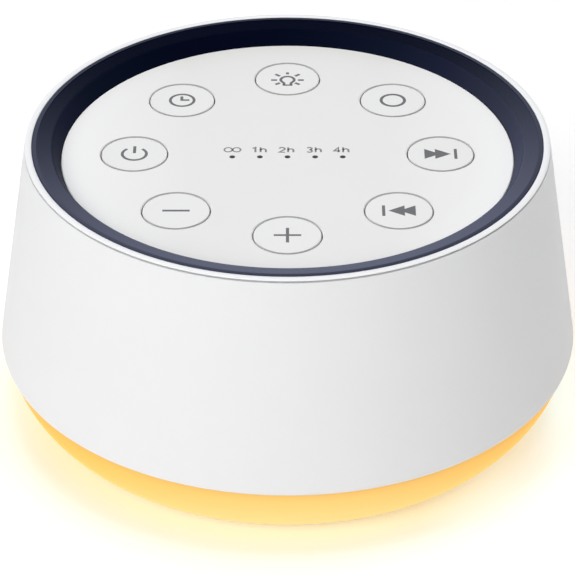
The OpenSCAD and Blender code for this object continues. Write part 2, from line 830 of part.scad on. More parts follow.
function lit_ring_outline() = concat(
    [[r_collar_in, z_collar], [r_collar, z_collar], [r_collar, z_shell]],
    arc(bulge_c, diffuser_bulge_r, bulge_angle(bulge_top), bulge_angle(bulge_bottom) + bottom_bevel * 3, 12),
    [
        [r_base - bottom_bevel, z_base], [r_plate + side_gap, z_base],
        [r_plate + side_gap, z_plate_top], [r_inner_flange, z_plate_top], [r_inner_flange, z_inner_flange]
    ],
    [for (i = [0:8]) let (z = z_inner_flange + (z_shell - z_inner_flange) * i / 8) [bulge_in(z), z]]
);

module lit_ring() {
    color(amber) revolve(lit_ring_outline());
}

reflector_foot_t = 0.8;
reflector_foot_gap = 1.2;
reflector_inset = 0.6;

// Cone with a foot on the lit ring's inner flange; its upper edge meets the lamp board's inner edge
module reflector_ring() {
    r0 = r_inner_flange + reflector_inset;
    r1 = r_lamp_board_in + reflector_inset;
    z0 = z_inner_flange + reflector_foot_t;
    foot_out = bulge_in(z_inner_flange) - reflector_foot_gap;
    color(white) revolve([
        [r0, z_inner_flange], [foot_out, z_inner_flange], [foot_out, z0],
        [r0 + reflector_t + reflector_foot_t, z0], [r1 + reflector_t, z_collar], [r1, z_collar]
    ]);
}

module lamp_board() {
    color([0.9, 0.9, 0.88]) hoop(r_lamp_board, r_lamp_board_in, z_collar, z_lamp_board);
}

night_lamp = [2.8, 3.5, 0.8];
night_lamp_inset = 4.2;

module night_lamps() {
    angles = [for (i = [0:n_lamps - 1]) 360 / n_lamps * (i + 0.5)];
    color([1.0, 0.9, 0.55]) around(angles, r_lamp_board_in + night_lamp_inset)
        block(night_lamp, z_collar - night_lamp[2], z_collar);
}

// ---------------------------------------------------------------- base plate and feet

plate_bevel = 0.4;
centring_t = 1.2;
blind_depth = 0.6;
standoff_pilot = 8;
foot_edge_r = 0.5;

module grille() {
    z0 = z_plate - overcut;
    z1 = z_plate_top + overcut;
    difference() {
        for (i = [1:n_grille_rings])
            hoop(i * grille_pitch + grille_slot_w / 2, i * grille_pitch - grille_slot_w / 2, z0, z1);
        for (i = [0:n_grille_webs - 1]) rotate([0, 0, 180 / n_grille_webs * i])
            block([speaker_w, grille_web], z0 - overcut, z1 + overcut);
    }
}

module base_plate() {
    head_bore = base_head_d / 2 + screw_gap;
    ring_r = r_inner_flange - side_gap;
    color(white) difference() {
        union() {
            revolve([
                [0, z_plate], [r_plate - plate_bevel, z_plate], [r_plate, z_plate + plate_bevel],
                [r_plate, z_plate_top], [0, z_plate_top]
            ]);
            around(POST_ANGLES, r_post) rod(post_d / 2, z_plate_top - eps, z_post);
            // Ring that centres the plate in the lit ring's inner flange
            hoop(ring_r, ring_r - centring_t, z_plate_top - eps, z_inner_flange);
            hoop(r_gasket, r_gasket_in, z_plate_top - eps, z_seat);
            for (p = SPEAKER_CORNERS) translate(p) rod(speaker_boss_d / 2, z_plate_top - eps, z_speaker);
            for (p = STANDOFFS) translate(p) rod(standoff_d / 2, z_plate_top - eps, main_board_z);
        }
        around(POST_ANGLES, r_post) {
            rod(foot_d / 2 + push_fit, z_plate - overcut, z_plate + foot_seat);
            rod(head_bore, z_plate - overcut, z_post - post_cap);
            rod(base_screw_d / 2 + screw_gap, z_plate, z_post + overcut);
        }
        for (p = SPEAKER_CORNERS) translate(p)
            rod(small_screw_d / 2 + push_fit, z_plate_top - blind_depth, z_speaker + overcut);
        for (p = STANDOFFS) translate(p)
            rod(small_screw_d / 2 + push_fit, main_board_z - standoff_pilot, main_board_z + overcut);
        grille();
    }
}

module rubber_feet() {
    e = foot_edge_r;
    r = foot_d / 2;
    z1 = z_plate + foot_seat;
    color(dark) around(POST_ANGLES, r_post)
        revolve(concat([[0, 0]], arc([r - e, e], e, -90, 0, 4), [[r, z1], [0, z1]]));
}

module base_screws() {
    color(steel) around(POST_ANGLES, r_post)
        screw(base_screw_d, base_head_d, base_head_h, base_screw_l - screw_end_gap, z_post - post_cap);
}

// ---------------------------------------------------------------- speaker

speaker_corner_r = 4;
basket_lip_w = 1;
basket_window_w = 16;
basket_window_gap = 0.8;
shelf_window_w = 2;

module speaker_flange() {
    z0 = z_speaker - overcut;
    z1 = z_basket + overcut;
    difference() {
        translate([0, 0, z_speaker]) linear_extrude(height = basket_t)
            rounded_rect(speaker_w, speaker_w, speaker_corner_r);
        rod(r_roll, z0, z1);
        for (p = SPEAKER_CORNERS) translate(p) rod(small_screw_d / 2 + screw_gap, z0, z1);
    }
}

function basket_outline() = [
    [r_roll, z_speaker], [r_roll + basket_t, z_speaker], [r_roll + basket_t, z_basket],
    [r_shelf + basket_t, z_shelf], [r_shelf + basket_t, z_shelf + basket_t],
    [r_shelf_in + basket_t, z_shelf + basket_t], [r_shelf_in + basket_t, z_front_plate],
    [r_gap + basket_lip_w, z_front_plate], [r_gap + basket_lip_w, z_basket_back],
    [r_shelf_in, z_basket_back], [r_shelf_in, z_shelf],
    [r_shelf, z_shelf], [r_roll, z_basket]
];

module speaker_basket() {
    w = basket_window_w;
    z0 = z_basket + basket_window_gap;
    z1 = z_shelf - basket_window_gap;
    color(steel) {
        speaker_flange();
        difference() {
            revolve(basket_outline());
            for (a = [45, 135, 225, 315]) rotate([0, 0, a]) translate([r_shelf_in + shelf_window_w, -w / 2, z0])
                cube([r_roll - r_shelf_in, w, z1 - z0]);
        }
    }
}

module speaker_cone() {
    color([0.16, 0.16, 0.17]) revolve([
        [r_cone, z_speaker], [r_cone, z_speaker + cone_t], [r_cone - cone_lip_w, z_speaker + cone_t],
        [r_former, z_cone_neck + cone_t], [r_former, z_cone_neck],
        [r_cone - cone_lip_w, z_speaker]
    ]);
}

// Half-roll that joins the cone's edge to the front of the flange
module speaker_surround() {
    roll_r = roll_w / 2 + roll_bulge;
    mid = (r_roll + r_cone) / 2;
    z0 = z_gasket;
    color(black) revolve(concat(
        [[r_gasket, z_speaker], [r_gasket, z0]],
        arc([mid, z_speaker], roll_r, -15, -165, 10),
        [[r_cone - cone_lip_w, z0], [r_cone - cone_lip_w, z_speaker]],
        arc([mid, z_speaker], roll_r - surround_t, -180, 0, 10)
    ));
}

// Corrugated disc that centres the voice coil
module speaker_spider() {
    waves = 4;
    height = spider_wave_h;
    r0 = r_former + push_fit;
    r1 = r_shelf_in;
    steps = waves * 4;
    wave = [for (i = [0:steps]) [r0 + (r1 - r0) * i / steps, -height * sin(360 * waves * i / steps)]];
    color([0.75, 0.62, 0.35]) revolve(concat(
        [for (p = wave) [p[0], z_shelf - spider_t + p[1]]],
        [[r_shelf - spider_edge_gap, z_shelf - spider_t], [r_shelf - spider_edge_gap, z_shelf]],
        [for (i = [steps:-1:0]) [wave[i][0], z_shelf + wave[i][1]]]
    ));
}

cap_r = 11;
cap_t = 0.3;
cap_reach = 1.2;
glue_gap = 0.02;

module dust_cap() {
    r_edge = r_former + cap_reach;
    z_edge = z_cone_neck - (r_edge - r_former) / (r_cone - cone_lip_w - r_former) * cone_depth - glue_gap;
    color(black) translate([0, 0, z_edge + sqrt(pow(cap_r - cap_t, 2) - pow(r_edge, 2))]) intersection() {
        difference() {
            sphere(r = cap_r);
            sphere(r = cap_r - cap_t);
        }
        rod(r_edge, -cap_r - overcut, 0);
    }
}

module voice_coil() {
    z_end = z_winding + winding_l + former_end;
    color([0.72, 0.45, 0.2]) revolve([
        [r_former_in, z_cone_neck], [r_former, z_cone_neck], [r_former, z_winding],
        [r_former + winding_t, z_winding], [r_former + winding_t, z_winding + winding_l],
        [r_former, z_winding + winding_l], [r_former, z_end], [r_former_in, z_end]
    ]);
}

module front_plate() {
    color(steel) hoop(r_plate_outer, r_gap, z_front_plate, z_magnet);
}

module speaker_magnet() {
    color([0.2, 0.2, 0.22]) hoop(magnet_d / 2, r_gap + magnet_bore_gap, z_magnet, z_yoke);
}

module speaker_yoke() {
    bevel = yoke_bevel;
    z1 = z_yoke + pole_plate_t;
    color(steel) revolve([
        [0, z_front_plate], [r_pole, z_front_plate], [r_pole, z_yoke], [r_plate_outer, z_yoke],
        [r_plate_outer, z1 - bevel], [r_plate_outer - bevel, z1], [0, z1]
    ]);
}

module speaker_gasket() {
    color(black) hoop(r_gasket, r_gasket_in, z_seat, z_gasket);
}

module speaker_screws() {
    color(steel) for (p = SPEAKER_CORNERS) translate(p)
        screw(small_screw_d, small_head_d, small_head_h, speaker_screw_l, z_basket, up = false);
}

terminal_strip = [11, 1.2, 6];
terminal_lug = [1.6, 0.4, 3];

module speaker_terminals() {
    strip = terminal_strip;
    lug = terminal_lug;
    color([0.45, 0.28, 0.12]) translate([0, terminal_y, 0]) {
        block([strip[0], strip[1]], z_basket, z_basket + strip[2]);
        for (s = [-1, 1]) translate([s * lead_pitch / 2, (strip[1] + lug[1]) / 2 - eps, 0])
            block([lug[0], lug[1]], z_basket + lug_rise, z_basket + lug_rise + lug[2]);
    }
}

// ---------------------------------------------------------------- main board

module main_board() {
    w = main_board_w / 2;
    color(board_green) difference() {
        translate([0, 0, main_board_z]) linear_extrude(height = main_board_t) polygon([
            [-w, main_board_front], [w, main_board_front], [w, board_shoulder_y],
            [board_corner, main_board_rear], [-board_corner, main_board_rear], [-w, board_shoulder_y]
        ]);
        for (p = STANDOFFS) translate(p)
            rod(small_screw_d / 2 + screw_gap, main_board_z - overcut, z_main + overcut);
    }
}

// Sound chip, amplifier, memory and regulator: place, width, depth and height
CHIPS = [
    [[13, 40], [9, 9, 1.4]], [[11.5, 31], [6, 4.5, 1.6]],
    [[-11.5, 31], [5, 4, 1.6]], [[20.5, 42], [3.5, 3.5, 1.2]]
];

module main_board_chips() {
    color(black) for (c = CHIPS) translate(c[0]) block(c[1], z_main, z_main + c[1][2]);
}

CAPACITORS = [[-12, 42], [10.5, main_board_rear - 4.5]];
can_r = 3.1;
can_h = 7.4;
can_base = [6.4, 6.4, 1];
can_neck = 0.25;
z_neck = z_main + 2;

module capacitors() {
    z0 = z_main + can_base[2] - eps;
    z1 = z_main + can_h;
    r_neck = can_r - can_neck;
    color(steel) for (p = CAPACITORS) translate(p) {
        block(can_base, z_main, z_main + can_base[2]);
        revolve([
            [0, z0], [can_r, z0], [can_r, z_neck], [r_neck, z_neck + can_neck], [r_neck, z_neck + 2 * can_neck],
            [can_r, z_neck + 3 * can_neck], [can_r, z1 - can_neck], [r_neck, z1], [0, z1]
        ]);
    }
}

module main_board_screws() {
    color(steel) for (p = STANDOFFS) translate(p)
        screw(small_screw_d, small_head_d, small_head_h, standoff_pilot, z_main, up = false);
}

// Sockets on the main board for the speaker's and the night light's leads; the leads enter at one side
module lead_socket(pitch) {
    body = [pitch + lead_socket[0], lead_socket[1], lead_socket[2]];
    difference() {
        translate([-body[0] / 2, 0, z_main]) cube(body);
        for (s = [-1, 1]) translate([s * pitch / 2, -overcut, z_lead]) rotate([-90, 0, 0])
            cylinder(r = lead_d / 2 + push_fit, h = lead_entry + overcut);
    }
}

module lead_sockets() {
    color([0.92, 0.9, 0.82]) {
        translate([0, speaker_socket_front, 0]) lead_socket(lead_pitch);
        translate([lamp_socket_x, lamp_lead_y, 0]) rotate([0, 0, -90]) lead_socket(lamp_lead_pitch);
    }
}

socket_wall = 0.3;
socket_flat = 0.4;
socket_tab = [2.4, 1.6, 0.3];
socket_tab_inset = 0.4;
SOCKET_TABS_Y = [2.6, 5.4];
tongue = [6.7, 5, 0.7];

// Outline of the socket's shell or of its mouth: rounded ends with a short flat between their curves
module socket_outline(w, h) {
    rounded_rect(w, h, (h - socket_flat) / 2);
}

module socket_shell() {
    wall = 2 * socket_wall;
    color(steel) {
        translate([0, socket_y, z_socket]) rotate([90, 0, 0]) difference() {
            linear_extrude(height = socket_depth) socket_outline(socket_w, socket_h);
            translate([0, 0, -overcut]) linear_extrude(height = socket_depth + overcut - socket_wall)
                socket_outline(socket_w - wall, socket_h - wall);
        }
        for (x = [-1, 1], y = SOCKET_TABS_Y)
            translate([x * (socket_w / 2 - socket_tab_inset), socket_y - y, 0])
                block(socket_tab, z_main, z_main + socket_tab[2]);
    }
}

module socket_tongue() {
    y0 = socket_y - socket_depth + socket_wall;
    color(black) translate([-tongue[0] / 2, y0, z_socket - tongue[2] / 2]) cube(tongue);
}

// ---------------------------------------------------------------- cables

module ribbon_sockets() {
    body = [ribbon_w + 2 * ribbon_socket_end, ribbon_socket_w];
    color([0.92, 0.9, 0.82]) {
        translate([0, ribbon_lower_y, 0]) block(body, z_main, z_main + ribbon_socket_h);
        translate([0, ribbon_upper_y, 0]) block(body, z_key_board_under - ribbon_socket_h, z_key_board_under);
    }
}

// Flat cable that rises from one socket to the other in a shallow S
module ribbon_cable() {
    z0 = z_main + ribbon_socket_h;
    z1 = z_key_board_under - ribbon_socket_h;
    n = 12;
    shift = ribbon_upper_y - ribbon_lower_y;
    mid = [for (i = [0:n]) [ribbon_lower_y + shift * (1 - cos(180 * i / n)) / 2, z0 + (z1 - z0) * i / n]];
    color([0.55, 0.55, 0.58]) rotate([90, 0, 90]) translate([0, 0, -ribbon_w / 2])
        linear_extrude(height = ribbon_w) polygon(concat(
            [for (p = mid) p - [ribbon_t / 2, 0]],
            [for (i = [n:-1:0]) mid[i] + [ribbon_t / 2, 0]]
        ));
}

// Round lead that rises from the origin to z_end, bends towards +X and ends at reach
module bent_lead(z_start, z_end, reach) {
    rod(lead_d / 2, z_start, z_end - lead_bend_r);
    translate([lead_bend_r, 0, z_end - lead_bend_r]) rotate([90, 0, 0]) rotate([0, 0, 90])
        rotate_extrude(angle = 90, $fn = 48) translate([lead_bend_r, 0]) circle(d = lead_d, $fn = 24);
    translate([lead_bend_r, 0, z_end]) rotate([0, 90, 0]) cylinder(d = lead_d, h = reach - lead_bend_r);
}

module speaker_leads() {
    colors = [[0.75, 0.1, 0.1], black];
    for (i = [0, 1]) color(colors[i]) translate([(i - 0.5) * lead_pitch, speaker_lead_y, 0]) rotate([0, 0, 90])
        bent_lead(z_basket + lug_rise, z_lead, speaker_socket_front - speaker_lead_y + lead_entry);
}

module lamp_leads() {
    for (s = [-1, 1]) color(s > 0 ? [0.9, 0.85, 0.3] : black)
        translate([lamp_lead_x, lamp_lead_y + s * lamp_lead_pitch / 2, 0])
            bent_lead(z_lamp_board, z_lead, lamp_socket_x - lamp_lead_x + lead_entry);
}

outer_shell();
top_rim();
accent_ring();
key_panel();
key(POWER);  // power_button
key(TIMER);  // timer_button
key(LIGHT);  // light_button
key(MODE);  // mode_button
key(NEXT);  // next_button
key(PREVIOUS);  // previous_button
key(VOLUME_UP);  // volume_up_button
key(VOLUME_DOWN);  // volume_down_button
plunger(POWER);  // power_plunger
plunger(TIMER);  // timer_plunger
plunger(LIGHT);  // light_plunger
plunger(MODE);  // mode_plunger
plunger(NEXT);  // next_plunger
plunger(PREVIOUS);  // previous_plunger
plunger(VOLUME_UP);  // volume_up_plunger
plunger(VOLUME_DOWN);  // volume_down_plunger
key_board();
switch_bodies();
light_guide();
light_shroud();
indicator_lamps();
panel_screws();
key_board_screws();
lit_ring();
reflector_ring();
lamp_board();
night_lamps();
base_plate();
rubber_feet();
base_screws();
speaker_basket();
speaker_cone();
speaker_surround();
speaker_spider();
dust_cap();
voice_coil();
speaker_magnet();
front_plate();
speaker_yoke();
speaker_gasket();
speaker_screws();
speaker_terminals();
main_board();
main_board_chips();
capacitors();
lead_sockets();
main_board_screws();
socket_shell();
socket_tongue();
ribbon_sockets();
ribbon_cable();
speaker_leads();
lamp_leads();
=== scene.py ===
import json
import math

import bmesh
import bpy
from mathutils import Matrix, Vector


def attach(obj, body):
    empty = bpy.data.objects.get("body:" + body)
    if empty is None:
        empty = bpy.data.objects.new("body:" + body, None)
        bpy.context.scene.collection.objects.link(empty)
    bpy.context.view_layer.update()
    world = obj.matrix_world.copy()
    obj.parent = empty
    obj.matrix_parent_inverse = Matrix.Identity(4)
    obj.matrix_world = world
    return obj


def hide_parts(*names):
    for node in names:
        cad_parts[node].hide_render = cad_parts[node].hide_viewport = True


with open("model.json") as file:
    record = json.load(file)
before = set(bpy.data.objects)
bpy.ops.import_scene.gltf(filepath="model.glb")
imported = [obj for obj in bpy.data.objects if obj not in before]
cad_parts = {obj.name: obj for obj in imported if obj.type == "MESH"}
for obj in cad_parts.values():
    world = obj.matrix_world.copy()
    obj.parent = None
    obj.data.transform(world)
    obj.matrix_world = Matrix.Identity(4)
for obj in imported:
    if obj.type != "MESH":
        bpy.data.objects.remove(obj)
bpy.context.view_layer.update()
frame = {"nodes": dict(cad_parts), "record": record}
nodes = frame["nodes"]
MM = 0.001

# ------------------------------------------------------------------ sizes, in millimetres as in the solids

OVERALL_H = 60.3
SHELL_R, SHELL_TOP_R, SHELL_WALL, SHELL_EDGE_R = 60.0, 53.25, 2.4, 0.8
LEDGE_T, RIB_W, RIB_T = 2.0, 2.0, 1.4
RIM_W, RIM_DEPTH, RIM_SKIRT_T, RIM_LIP_T, SEAM_GAP = 1.4, 3.8, 0.7, 0.3, 0.4
ACCENT_W, ACCENT_WALL, ACCENT_SHOULDER_R, ACCENT_FALL, ACCENT_SLOPE = 5.75, 1.4, 0.9, 10.0, 62.0
LAND_W, LAND_EDGE_R, LAND_STEP = 0.75, 0.15, 0.12
PANEL_RECESS, PANEL_T, FLANGE_T = 3.8, 2.0, 1.7
KEY_RING_R, KEY_R, KEY_GAP = 31.1, 6.7, 0.2
KEY_CAP_T, KEY_SKIRT_T, KEY_FLANGE_W, KEY_FLANGE_T, KEY_STEM_R = 1.6, 1.0, 0.9, 0.9, 2.0
KEY_GUIDE_H, KEY_GUIDE_T, TAB_W, TAB_REACH = 2.3, 1.0, 1.8, 0.7
FOOT_H, FOOT_R, FOOT_SEAT = 1.7, 5.5, 1.0
BASE_R, DIFFUSER_H, DIFFUSER_WALL, BULGE_R = 52.0, 12.7, 2.2, 22.0
COLLAR_H, COLLAR_T, BOTTOM_EDGE_W, INNER_FLANGE_W, INNER_FLANGE_T = 3.6, 1.8, 2.0, 3.6, 2.0
PLATE_T, POST_RING_R, POST_R, POST_RISE, BOSS_H = 2.2, 42.0, 3.7, 2.6, 16.0
LAMP_BOARD_T = 1.2
INDICATOR_PITCH, INDICATOR_Y, TIP_R, GUIDE_PIN_R = 5.6, -1.2, 0.5, 1.1
PUSH_FIT, SIDE_GAP, SCREW_GAP = 0.05, 0.2, 0.25
SMALL_SCREW_R, BASE_SCREW_R, BASE_HEAD_R = 1.0, 1.45, 2.6
PORT_W, PORT_H, PORT_R, SOCKET_Z = 13.0, 7.2, 1.2, 27.63
BASE_PILOT_H, PANEL_PILOT_H = 14, 6

Z_BASE = FOOT_H
Z_SHELL = Z_BASE + DIFFUSER_H
Z_PLATE = Z_BASE + 0.1
Z_PLATE_TOP = Z_PLATE + PLATE_T
Z_INNER_FLANGE = Z_PLATE_TOP + INNER_FLANGE_T
Z_COLLAR = Z_SHELL + COLLAR_H
Z_LAMP_BOARD = Z_COLLAR + LAMP_BOARD_T
Z_POST = Z_SHELL + POST_RISE
Z_TOP = OVERALL_H
Z_PANEL = Z_TOP - PANEL_RECESS
Z_UNDER = Z_PANEL - PANEL_T
Z_LEDGE = Z_UNDER - 0.5
Z_FLANGE = Z_LEDGE + FLANGE_T
Z_RABBET = Z_TOP - RIM_DEPTH
Z_SEAM = Z_TOP - RIM_LIP_T - SEAM_GAP
Z_ACCENT = Z_TOP - 0.1
Z_BROW = Z_ACCENT - LAND_STEP
TAPER = (SHELL_R - SHELL_TOP_R) / (Z_SEAM - Z_SHELL)
TAPER_A = math.degrees(math.atan(TAPER))
R_RIM = SHELL_TOP_R - 0.1
R_RIM_IN = R_RIM - RIM_W
R_SKIRT = R_RIM_IN + RIM_SKIRT_T
R_RABBET = R_SKIRT + PUSH_FIT
R_ACCENT = R_RIM_IN - PUSH_FIT
R_ACCENT_WALL = R_ACCENT - ACCENT_WALL
R_ACCENT_IN = R_ACCENT - ACCENT_W
R_LAND = R_ACCENT - LAND_EDGE_R - LAND_W
R_PANEL = R_ACCENT_IN - 0.1
R_LEDGE = R_PANEL - 1.2
R_FLANGE = R_ACCENT_WALL - SIDE_GAP
R_PANEL_SCREW = R_ACCENT_IN + 2.35
Z_PANEL_SCREW = Z_LEDGE - LEDGE_T + 5.5
R_PLATE = BASE_R - BOTTOM_EDGE_W - SIDE_GAP
R_INNER_FLANGE = R_PLATE - INNER_FLANGE_W
KEY_ANGLES = {"power": 180, "timer": 135, "light": 90, "mode": 45, "next": 0, "previous": -45,
              "volume_up": -90, "volume_down": -135}
POST_ANGLES = [45, 135, 225, 315]
RIB_ANGLES = [22.5 + 45 * i for i in range(8)]
PANEL_SCREW_ANGLES = [30 + 60 * i for i in range(6)]


def shell_r(z):
    return SHELL_R - (z - Z_SHELL) * TAPER


def shell_in(z):
    return shell_r(z) - SHELL_WALL


R_COLLAR = shell_in(Z_COLLAR) - SIDE_GAP
R_COLLAR_IN = R_COLLAR - COLLAR_T


# ------------------------------------------------------------------ building blocks

SHARP_ANGLE = math.radians(35)
SEGMENTS, KEY_SEGMENTS = 288, 128

# Points closer than this, in metres, become one after each boolean
WELD = 0.0000005


def arc(c, r, a0, a1, n=12):
    steps = [math.radians(a0 + (a1 - a0) * i / n) for i in range(n + 1)]
    return [(c[0] + r * math.cos(a), c[1] + r * math.sin(a)) for a in steps]


def rectangle(x0, y0, x1, y1):
    return [(x0, y0), (x1, y0), (x1, y1), (x0, y1)]


def supported(outline, reach=0.05):
    """A point near each end of every long edge keeps the smooth shading within the rounded edges."""
    out = []
    for (x0, y0), (x1, y1) in zip(outline, outline[1:] + outline[:1]):
        out.append((x0, y0))
        length = math.hypot(x1 - x0, y1 - y0)
        if length > 8 * reach:
            for t in (reach / length, 1 - reach / length):
                out.append((x0 + (x1 - x0) * t, y0 + (y1 - y0) * t))
    return out


def make(name, bm):
    bmesh.ops.recalc_face_normals(bm, faces=bm.faces)
    mesh = bpy.data.meshes.new(name)
    bm.to_mesh(mesh)
    bm.free()
    mesh.shade_smooth()
    mesh.set_sharp_from_angle(angle=SHARP_ANGLE)
    obj = bpy.data.objects.new(name, mesh)
    bpy.context.scene.collection.objects.link(obj)
    return obj


def add_lathe(bm, outline, segments, at=(0, 0)):
    """An outline in radius and height, turned about an upright line."""
    rings = []
    turn = [2 * math.pi * k / segments for k in range(segments)]
    for r, z in outline:
        if r < 1e-6:
            rings.append([bm.verts.new((at[0] * MM, at[1] * MM, z * MM))])
        else:
            circle = [(at[0] + r * math.cos(t), at[1] + r * math.sin(t)) for t in turn]
            rings.append([bm.verts.new((x * MM, y * MM, z * MM)) for x, y in circle])
    for a, b in zip(rings, rings[1:] + rings[:1]):
        if len(a) == 1 and len(b) == 1:
            continue
        for k in range(segments):
            n = (k + 1) % segments
            if len(a) == 1:
                bm.faces.new((a[0], b[k], b[n]))
            elif len(b) == 1:
                bm.faces.new((a[k], b[0], a[n]))
            else:
                bm.faces.new((a[k], b[k], b[n], a[n]))


def lathe(name, outline, segments, at=(0, 0), reach=0.05):
    bm = bmesh.new()
    add_lathe(bm, supported(outline, reach), segments, at)
    return make(name, bm)


def rods(name, places, r, z0, z1, segments=48):
    bm = bmesh.new()
    for at in places:
        add_lathe(bm, rectangle(0, z0, r, z1), segments, at)
    return make(name, bm)


def polar(r, angles):
    return [(r * math.cos(math.radians(a)), r * math.sin(math.radians(a))) for a in angles]


def add_prism(bm, outline, z0, z1, matrix=None):
    """A prism over an outline in x and y; the matrix then places it."""
    low = [bm.verts.new((x * MM, y * MM, z0 * MM)) for x, y in outline]
    high = [bm.verts.new((x * MM, y * MM, z1 * MM)) for x, y in outline]
    bm.faces.new(low[::-1])
    bm.faces.new(high)
    for k in range(len(outline)):
        n = (k + 1) % len(outline)
        bm.faces.new((low[k], low[n], high[n], high[k]))
    if matrix is not None:
        bmesh.ops.transform(bm, matrix=matrix, verts=low + high)


def plates(name, angles, t, outline):
    """Upright radial plates whose outline is given in radius and height."""
    bm = bmesh.new()
    upright = Matrix.Rotation(math.pi / 2, 4, "X")
    for a in angles:
        add_prism(bm, outline, -t / 2, t / 2, Matrix.Rotation(math.radians(a), 4, "Z") @ upright)
    return make(name, bm)


def boxes(name, items):
    """Boxes given as (x0, y0, z0, x1, y1, z1, turn about Z)."""
    bm = bmesh.new()
    for x0, y0, z0, x1, y1, z1, turn in items:
        add_prism(bm, rectangle(x0, y0, x1, y1), z0, z1, Matrix.Rotation(math.radians(turn), 4, "Z"))
    return make(name, bm)


def boolean(obj, tool, operation):
    modifier = obj.modifiers.new("join", "BOOLEAN")
    modifier.operation = operation
    modifier.solver = "EXACT"
    modifier.object = tool
    graph = bpy.context.evaluated_depsgraph_get()
    mesh = bpy.data.meshes.new_from_object(obj.evaluated_get(graph))
    obj.modifiers.clear()
    old = obj.data
    bm = bmesh.new()
    bm.from_mesh(mesh)
    bmesh.ops.remove_doubles(bm, verts=bm.verts, dist=WELD)
    bmesh.ops.dissolve_degenerate(bm, edges=bm.edges, dist=WELD)
    bm.to_mesh(mesh)
    bm.free()
    mesh.validate()
    obj.data = mesh
    mesh.name = obj.name
    bpy.data.meshes.remove(old)
    bpy.data.objects.remove(tool)
    obj.data.shade_smooth()
    obj.data.set_sharp_from_angle(angle=SHARP_ANGLE)
    return obj


def cut(obj, tool):
    return boolean(obj, tool, "DIFFERENCE")


def fuse(obj, tool):
    return boolean(obj, tool, "UNION")


# ------------------------------------------------------------------ nodes

def connect(tree, socket, value):
    """Sets an input to a value, or links another node's output to it."""
    if isinstance(value, (int, float, tuple)):
        socket.default_value = value
    else:
        tree.links.new(value, socket)


def coordinates(tree, kind="Object"):
    return tree.nodes.new("ShaderNodeTexCoord").outputs[kind]


def axes(tree, vector):
    node = tree.nodes.new("ShaderNodeSeparateXYZ")
    tree.links.new(vector, node.inputs["Vector"])
    return [node.outputs[axis] for axis in "XYZ"]


def ramp_between(tree, fac, low, high):
    """A factor from 0 to 1 stretched to lie between low and high."""
    node = tree.nodes.new("ShaderNodeMapRange")
    node.inputs["To Min"].default_value = low
    node.inputs["To Max"].default_value = high
    tree.links.new(fac, node.inputs["Value"])
    return node.outputs["Result"]


def mapped(tree, value, low, high):
    """The value's place between low and high, from 0 to 1."""
    node = tree.nodes.new("ShaderNodeMapRange")
    node.inputs["From Min"].default_value = low
    node.inputs["From Max"].default_value = high
    tree.links.new(value, node.inputs["Value"])
    return node.outputs["Result"]


def noise(tree, coords, scale, detail, rough=0.55, stretch=None):
    node = tree.nodes.new("ShaderNodeTexNoise")
    node.inputs["Scale"].default_value = scale
    node.inputs["Detail"].default_value = detail
    node.inputs["Roughness"].default_value = rough
    if stretch:
        mapping = tree.nodes.new("ShaderNodeMapping")
        mapping.inputs["Scale"].default_value = stretch
        tree.links.new(coords, mapping.inputs["Vector"])
        coords = mapping.outputs["Vector"]
    tree.links.new(coords, node.inputs["Vector"])
    return node.outputs["Fac"]


def color_ramp(tree, fac, stops):
    node = tree.nodes.new("ShaderNodeValToRGB")
    while len(node.color_ramp.elements) < len(stops):
        node.color_ramp.elements.new(0.5)
    for element, (place, color) in zip(node.color_ramp.elements, stops):
        element.position = place
        element.color = (*color, 1)
    tree.links.new(fac, node.inputs["Fac"])
    return node.outputs["Color"]


def arithmetic(tree, operation, a, b=0):
    node = tree.nodes.new("ShaderNodeMath")
    node.operation = operation
    connect(tree, node.inputs[0], a)
    connect(tree, node.inputs[1], b)
    return node.outputs["Value"]


def product(tree, first, *others):
    for other in others:
        first = arithmetic(tree, "MULTIPLY", first, other)
    return first


def scaled(tree, vector, factor):
    node = tree.nodes.new("ShaderNodeVectorMath")
    node.operation = "SCALE"
    connect(tree, node.inputs[0], vector)
    connect(tree, node.inputs["Scale"], factor)
    return node.outputs["Vector"]


def flat_radius(tree, vector):
    """The distance from the upright axis."""
    squash = tree.nodes.new("ShaderNodeVectorMath")
    squash.operation = "MULTIPLY"
    squash.inputs[1].default_value = (1, 1, 0)
    tree.links.new(vector, squash.inputs[0])
    length = tree.nodes.new("ShaderNodeVectorMath")
    length.operation = "LENGTH"
    tree.links.new(squash.outputs["Vector"], length.inputs[0])
    return length.outputs["Value"]


def backward(tree, x, y, lean):
    """How far back a place lies, along a line that leans to the left."""
    return arithmetic(tree, "SUBTRACT", y, product(tree, x, lean))


def blended(tree, factor, low, high, blend_type="MIX"):
    """A colour between two; each may be a value or another node's output."""
    mix = tree.nodes.new("ShaderNodeMix")
    mix.data_type = "RGBA"
    mix.blend_type = blend_type
    connect(tree, mix.inputs["Factor"], factor)
    for name, color in (("A", low), ("B", high)):
        connect(tree, mix.inputs[name], (*color, 1) if isinstance(color, tuple) else color)
    return mix.outputs["Result"]


def paint_over(tree, factor, color):
    """Blends a colour over the one that feeds the shader."""
    socket = tree.nodes["Principled BSDF"].inputs["Base Color"]
    tree.links.new(blended(tree, factor, socket.links[0].from_socket, color), socket)


def directly_seen(tree):
    """1 for what the camera sees itself or mirrored, and 0 for the light that spreads."""
    rays = tree.nodes.new("ShaderNodeLightPath").outputs
    return arithmetic(tree, "MAXIMUM", rays["Is Camera Ray"], rays["Is Glossy Ray"])


# ------------------------------------------------------------------ materials

CLOUD_SCALE, GRAIN_DEPTH = 60.0, 0.00003
NAVY = (0.0016, 0.003, 0.012)

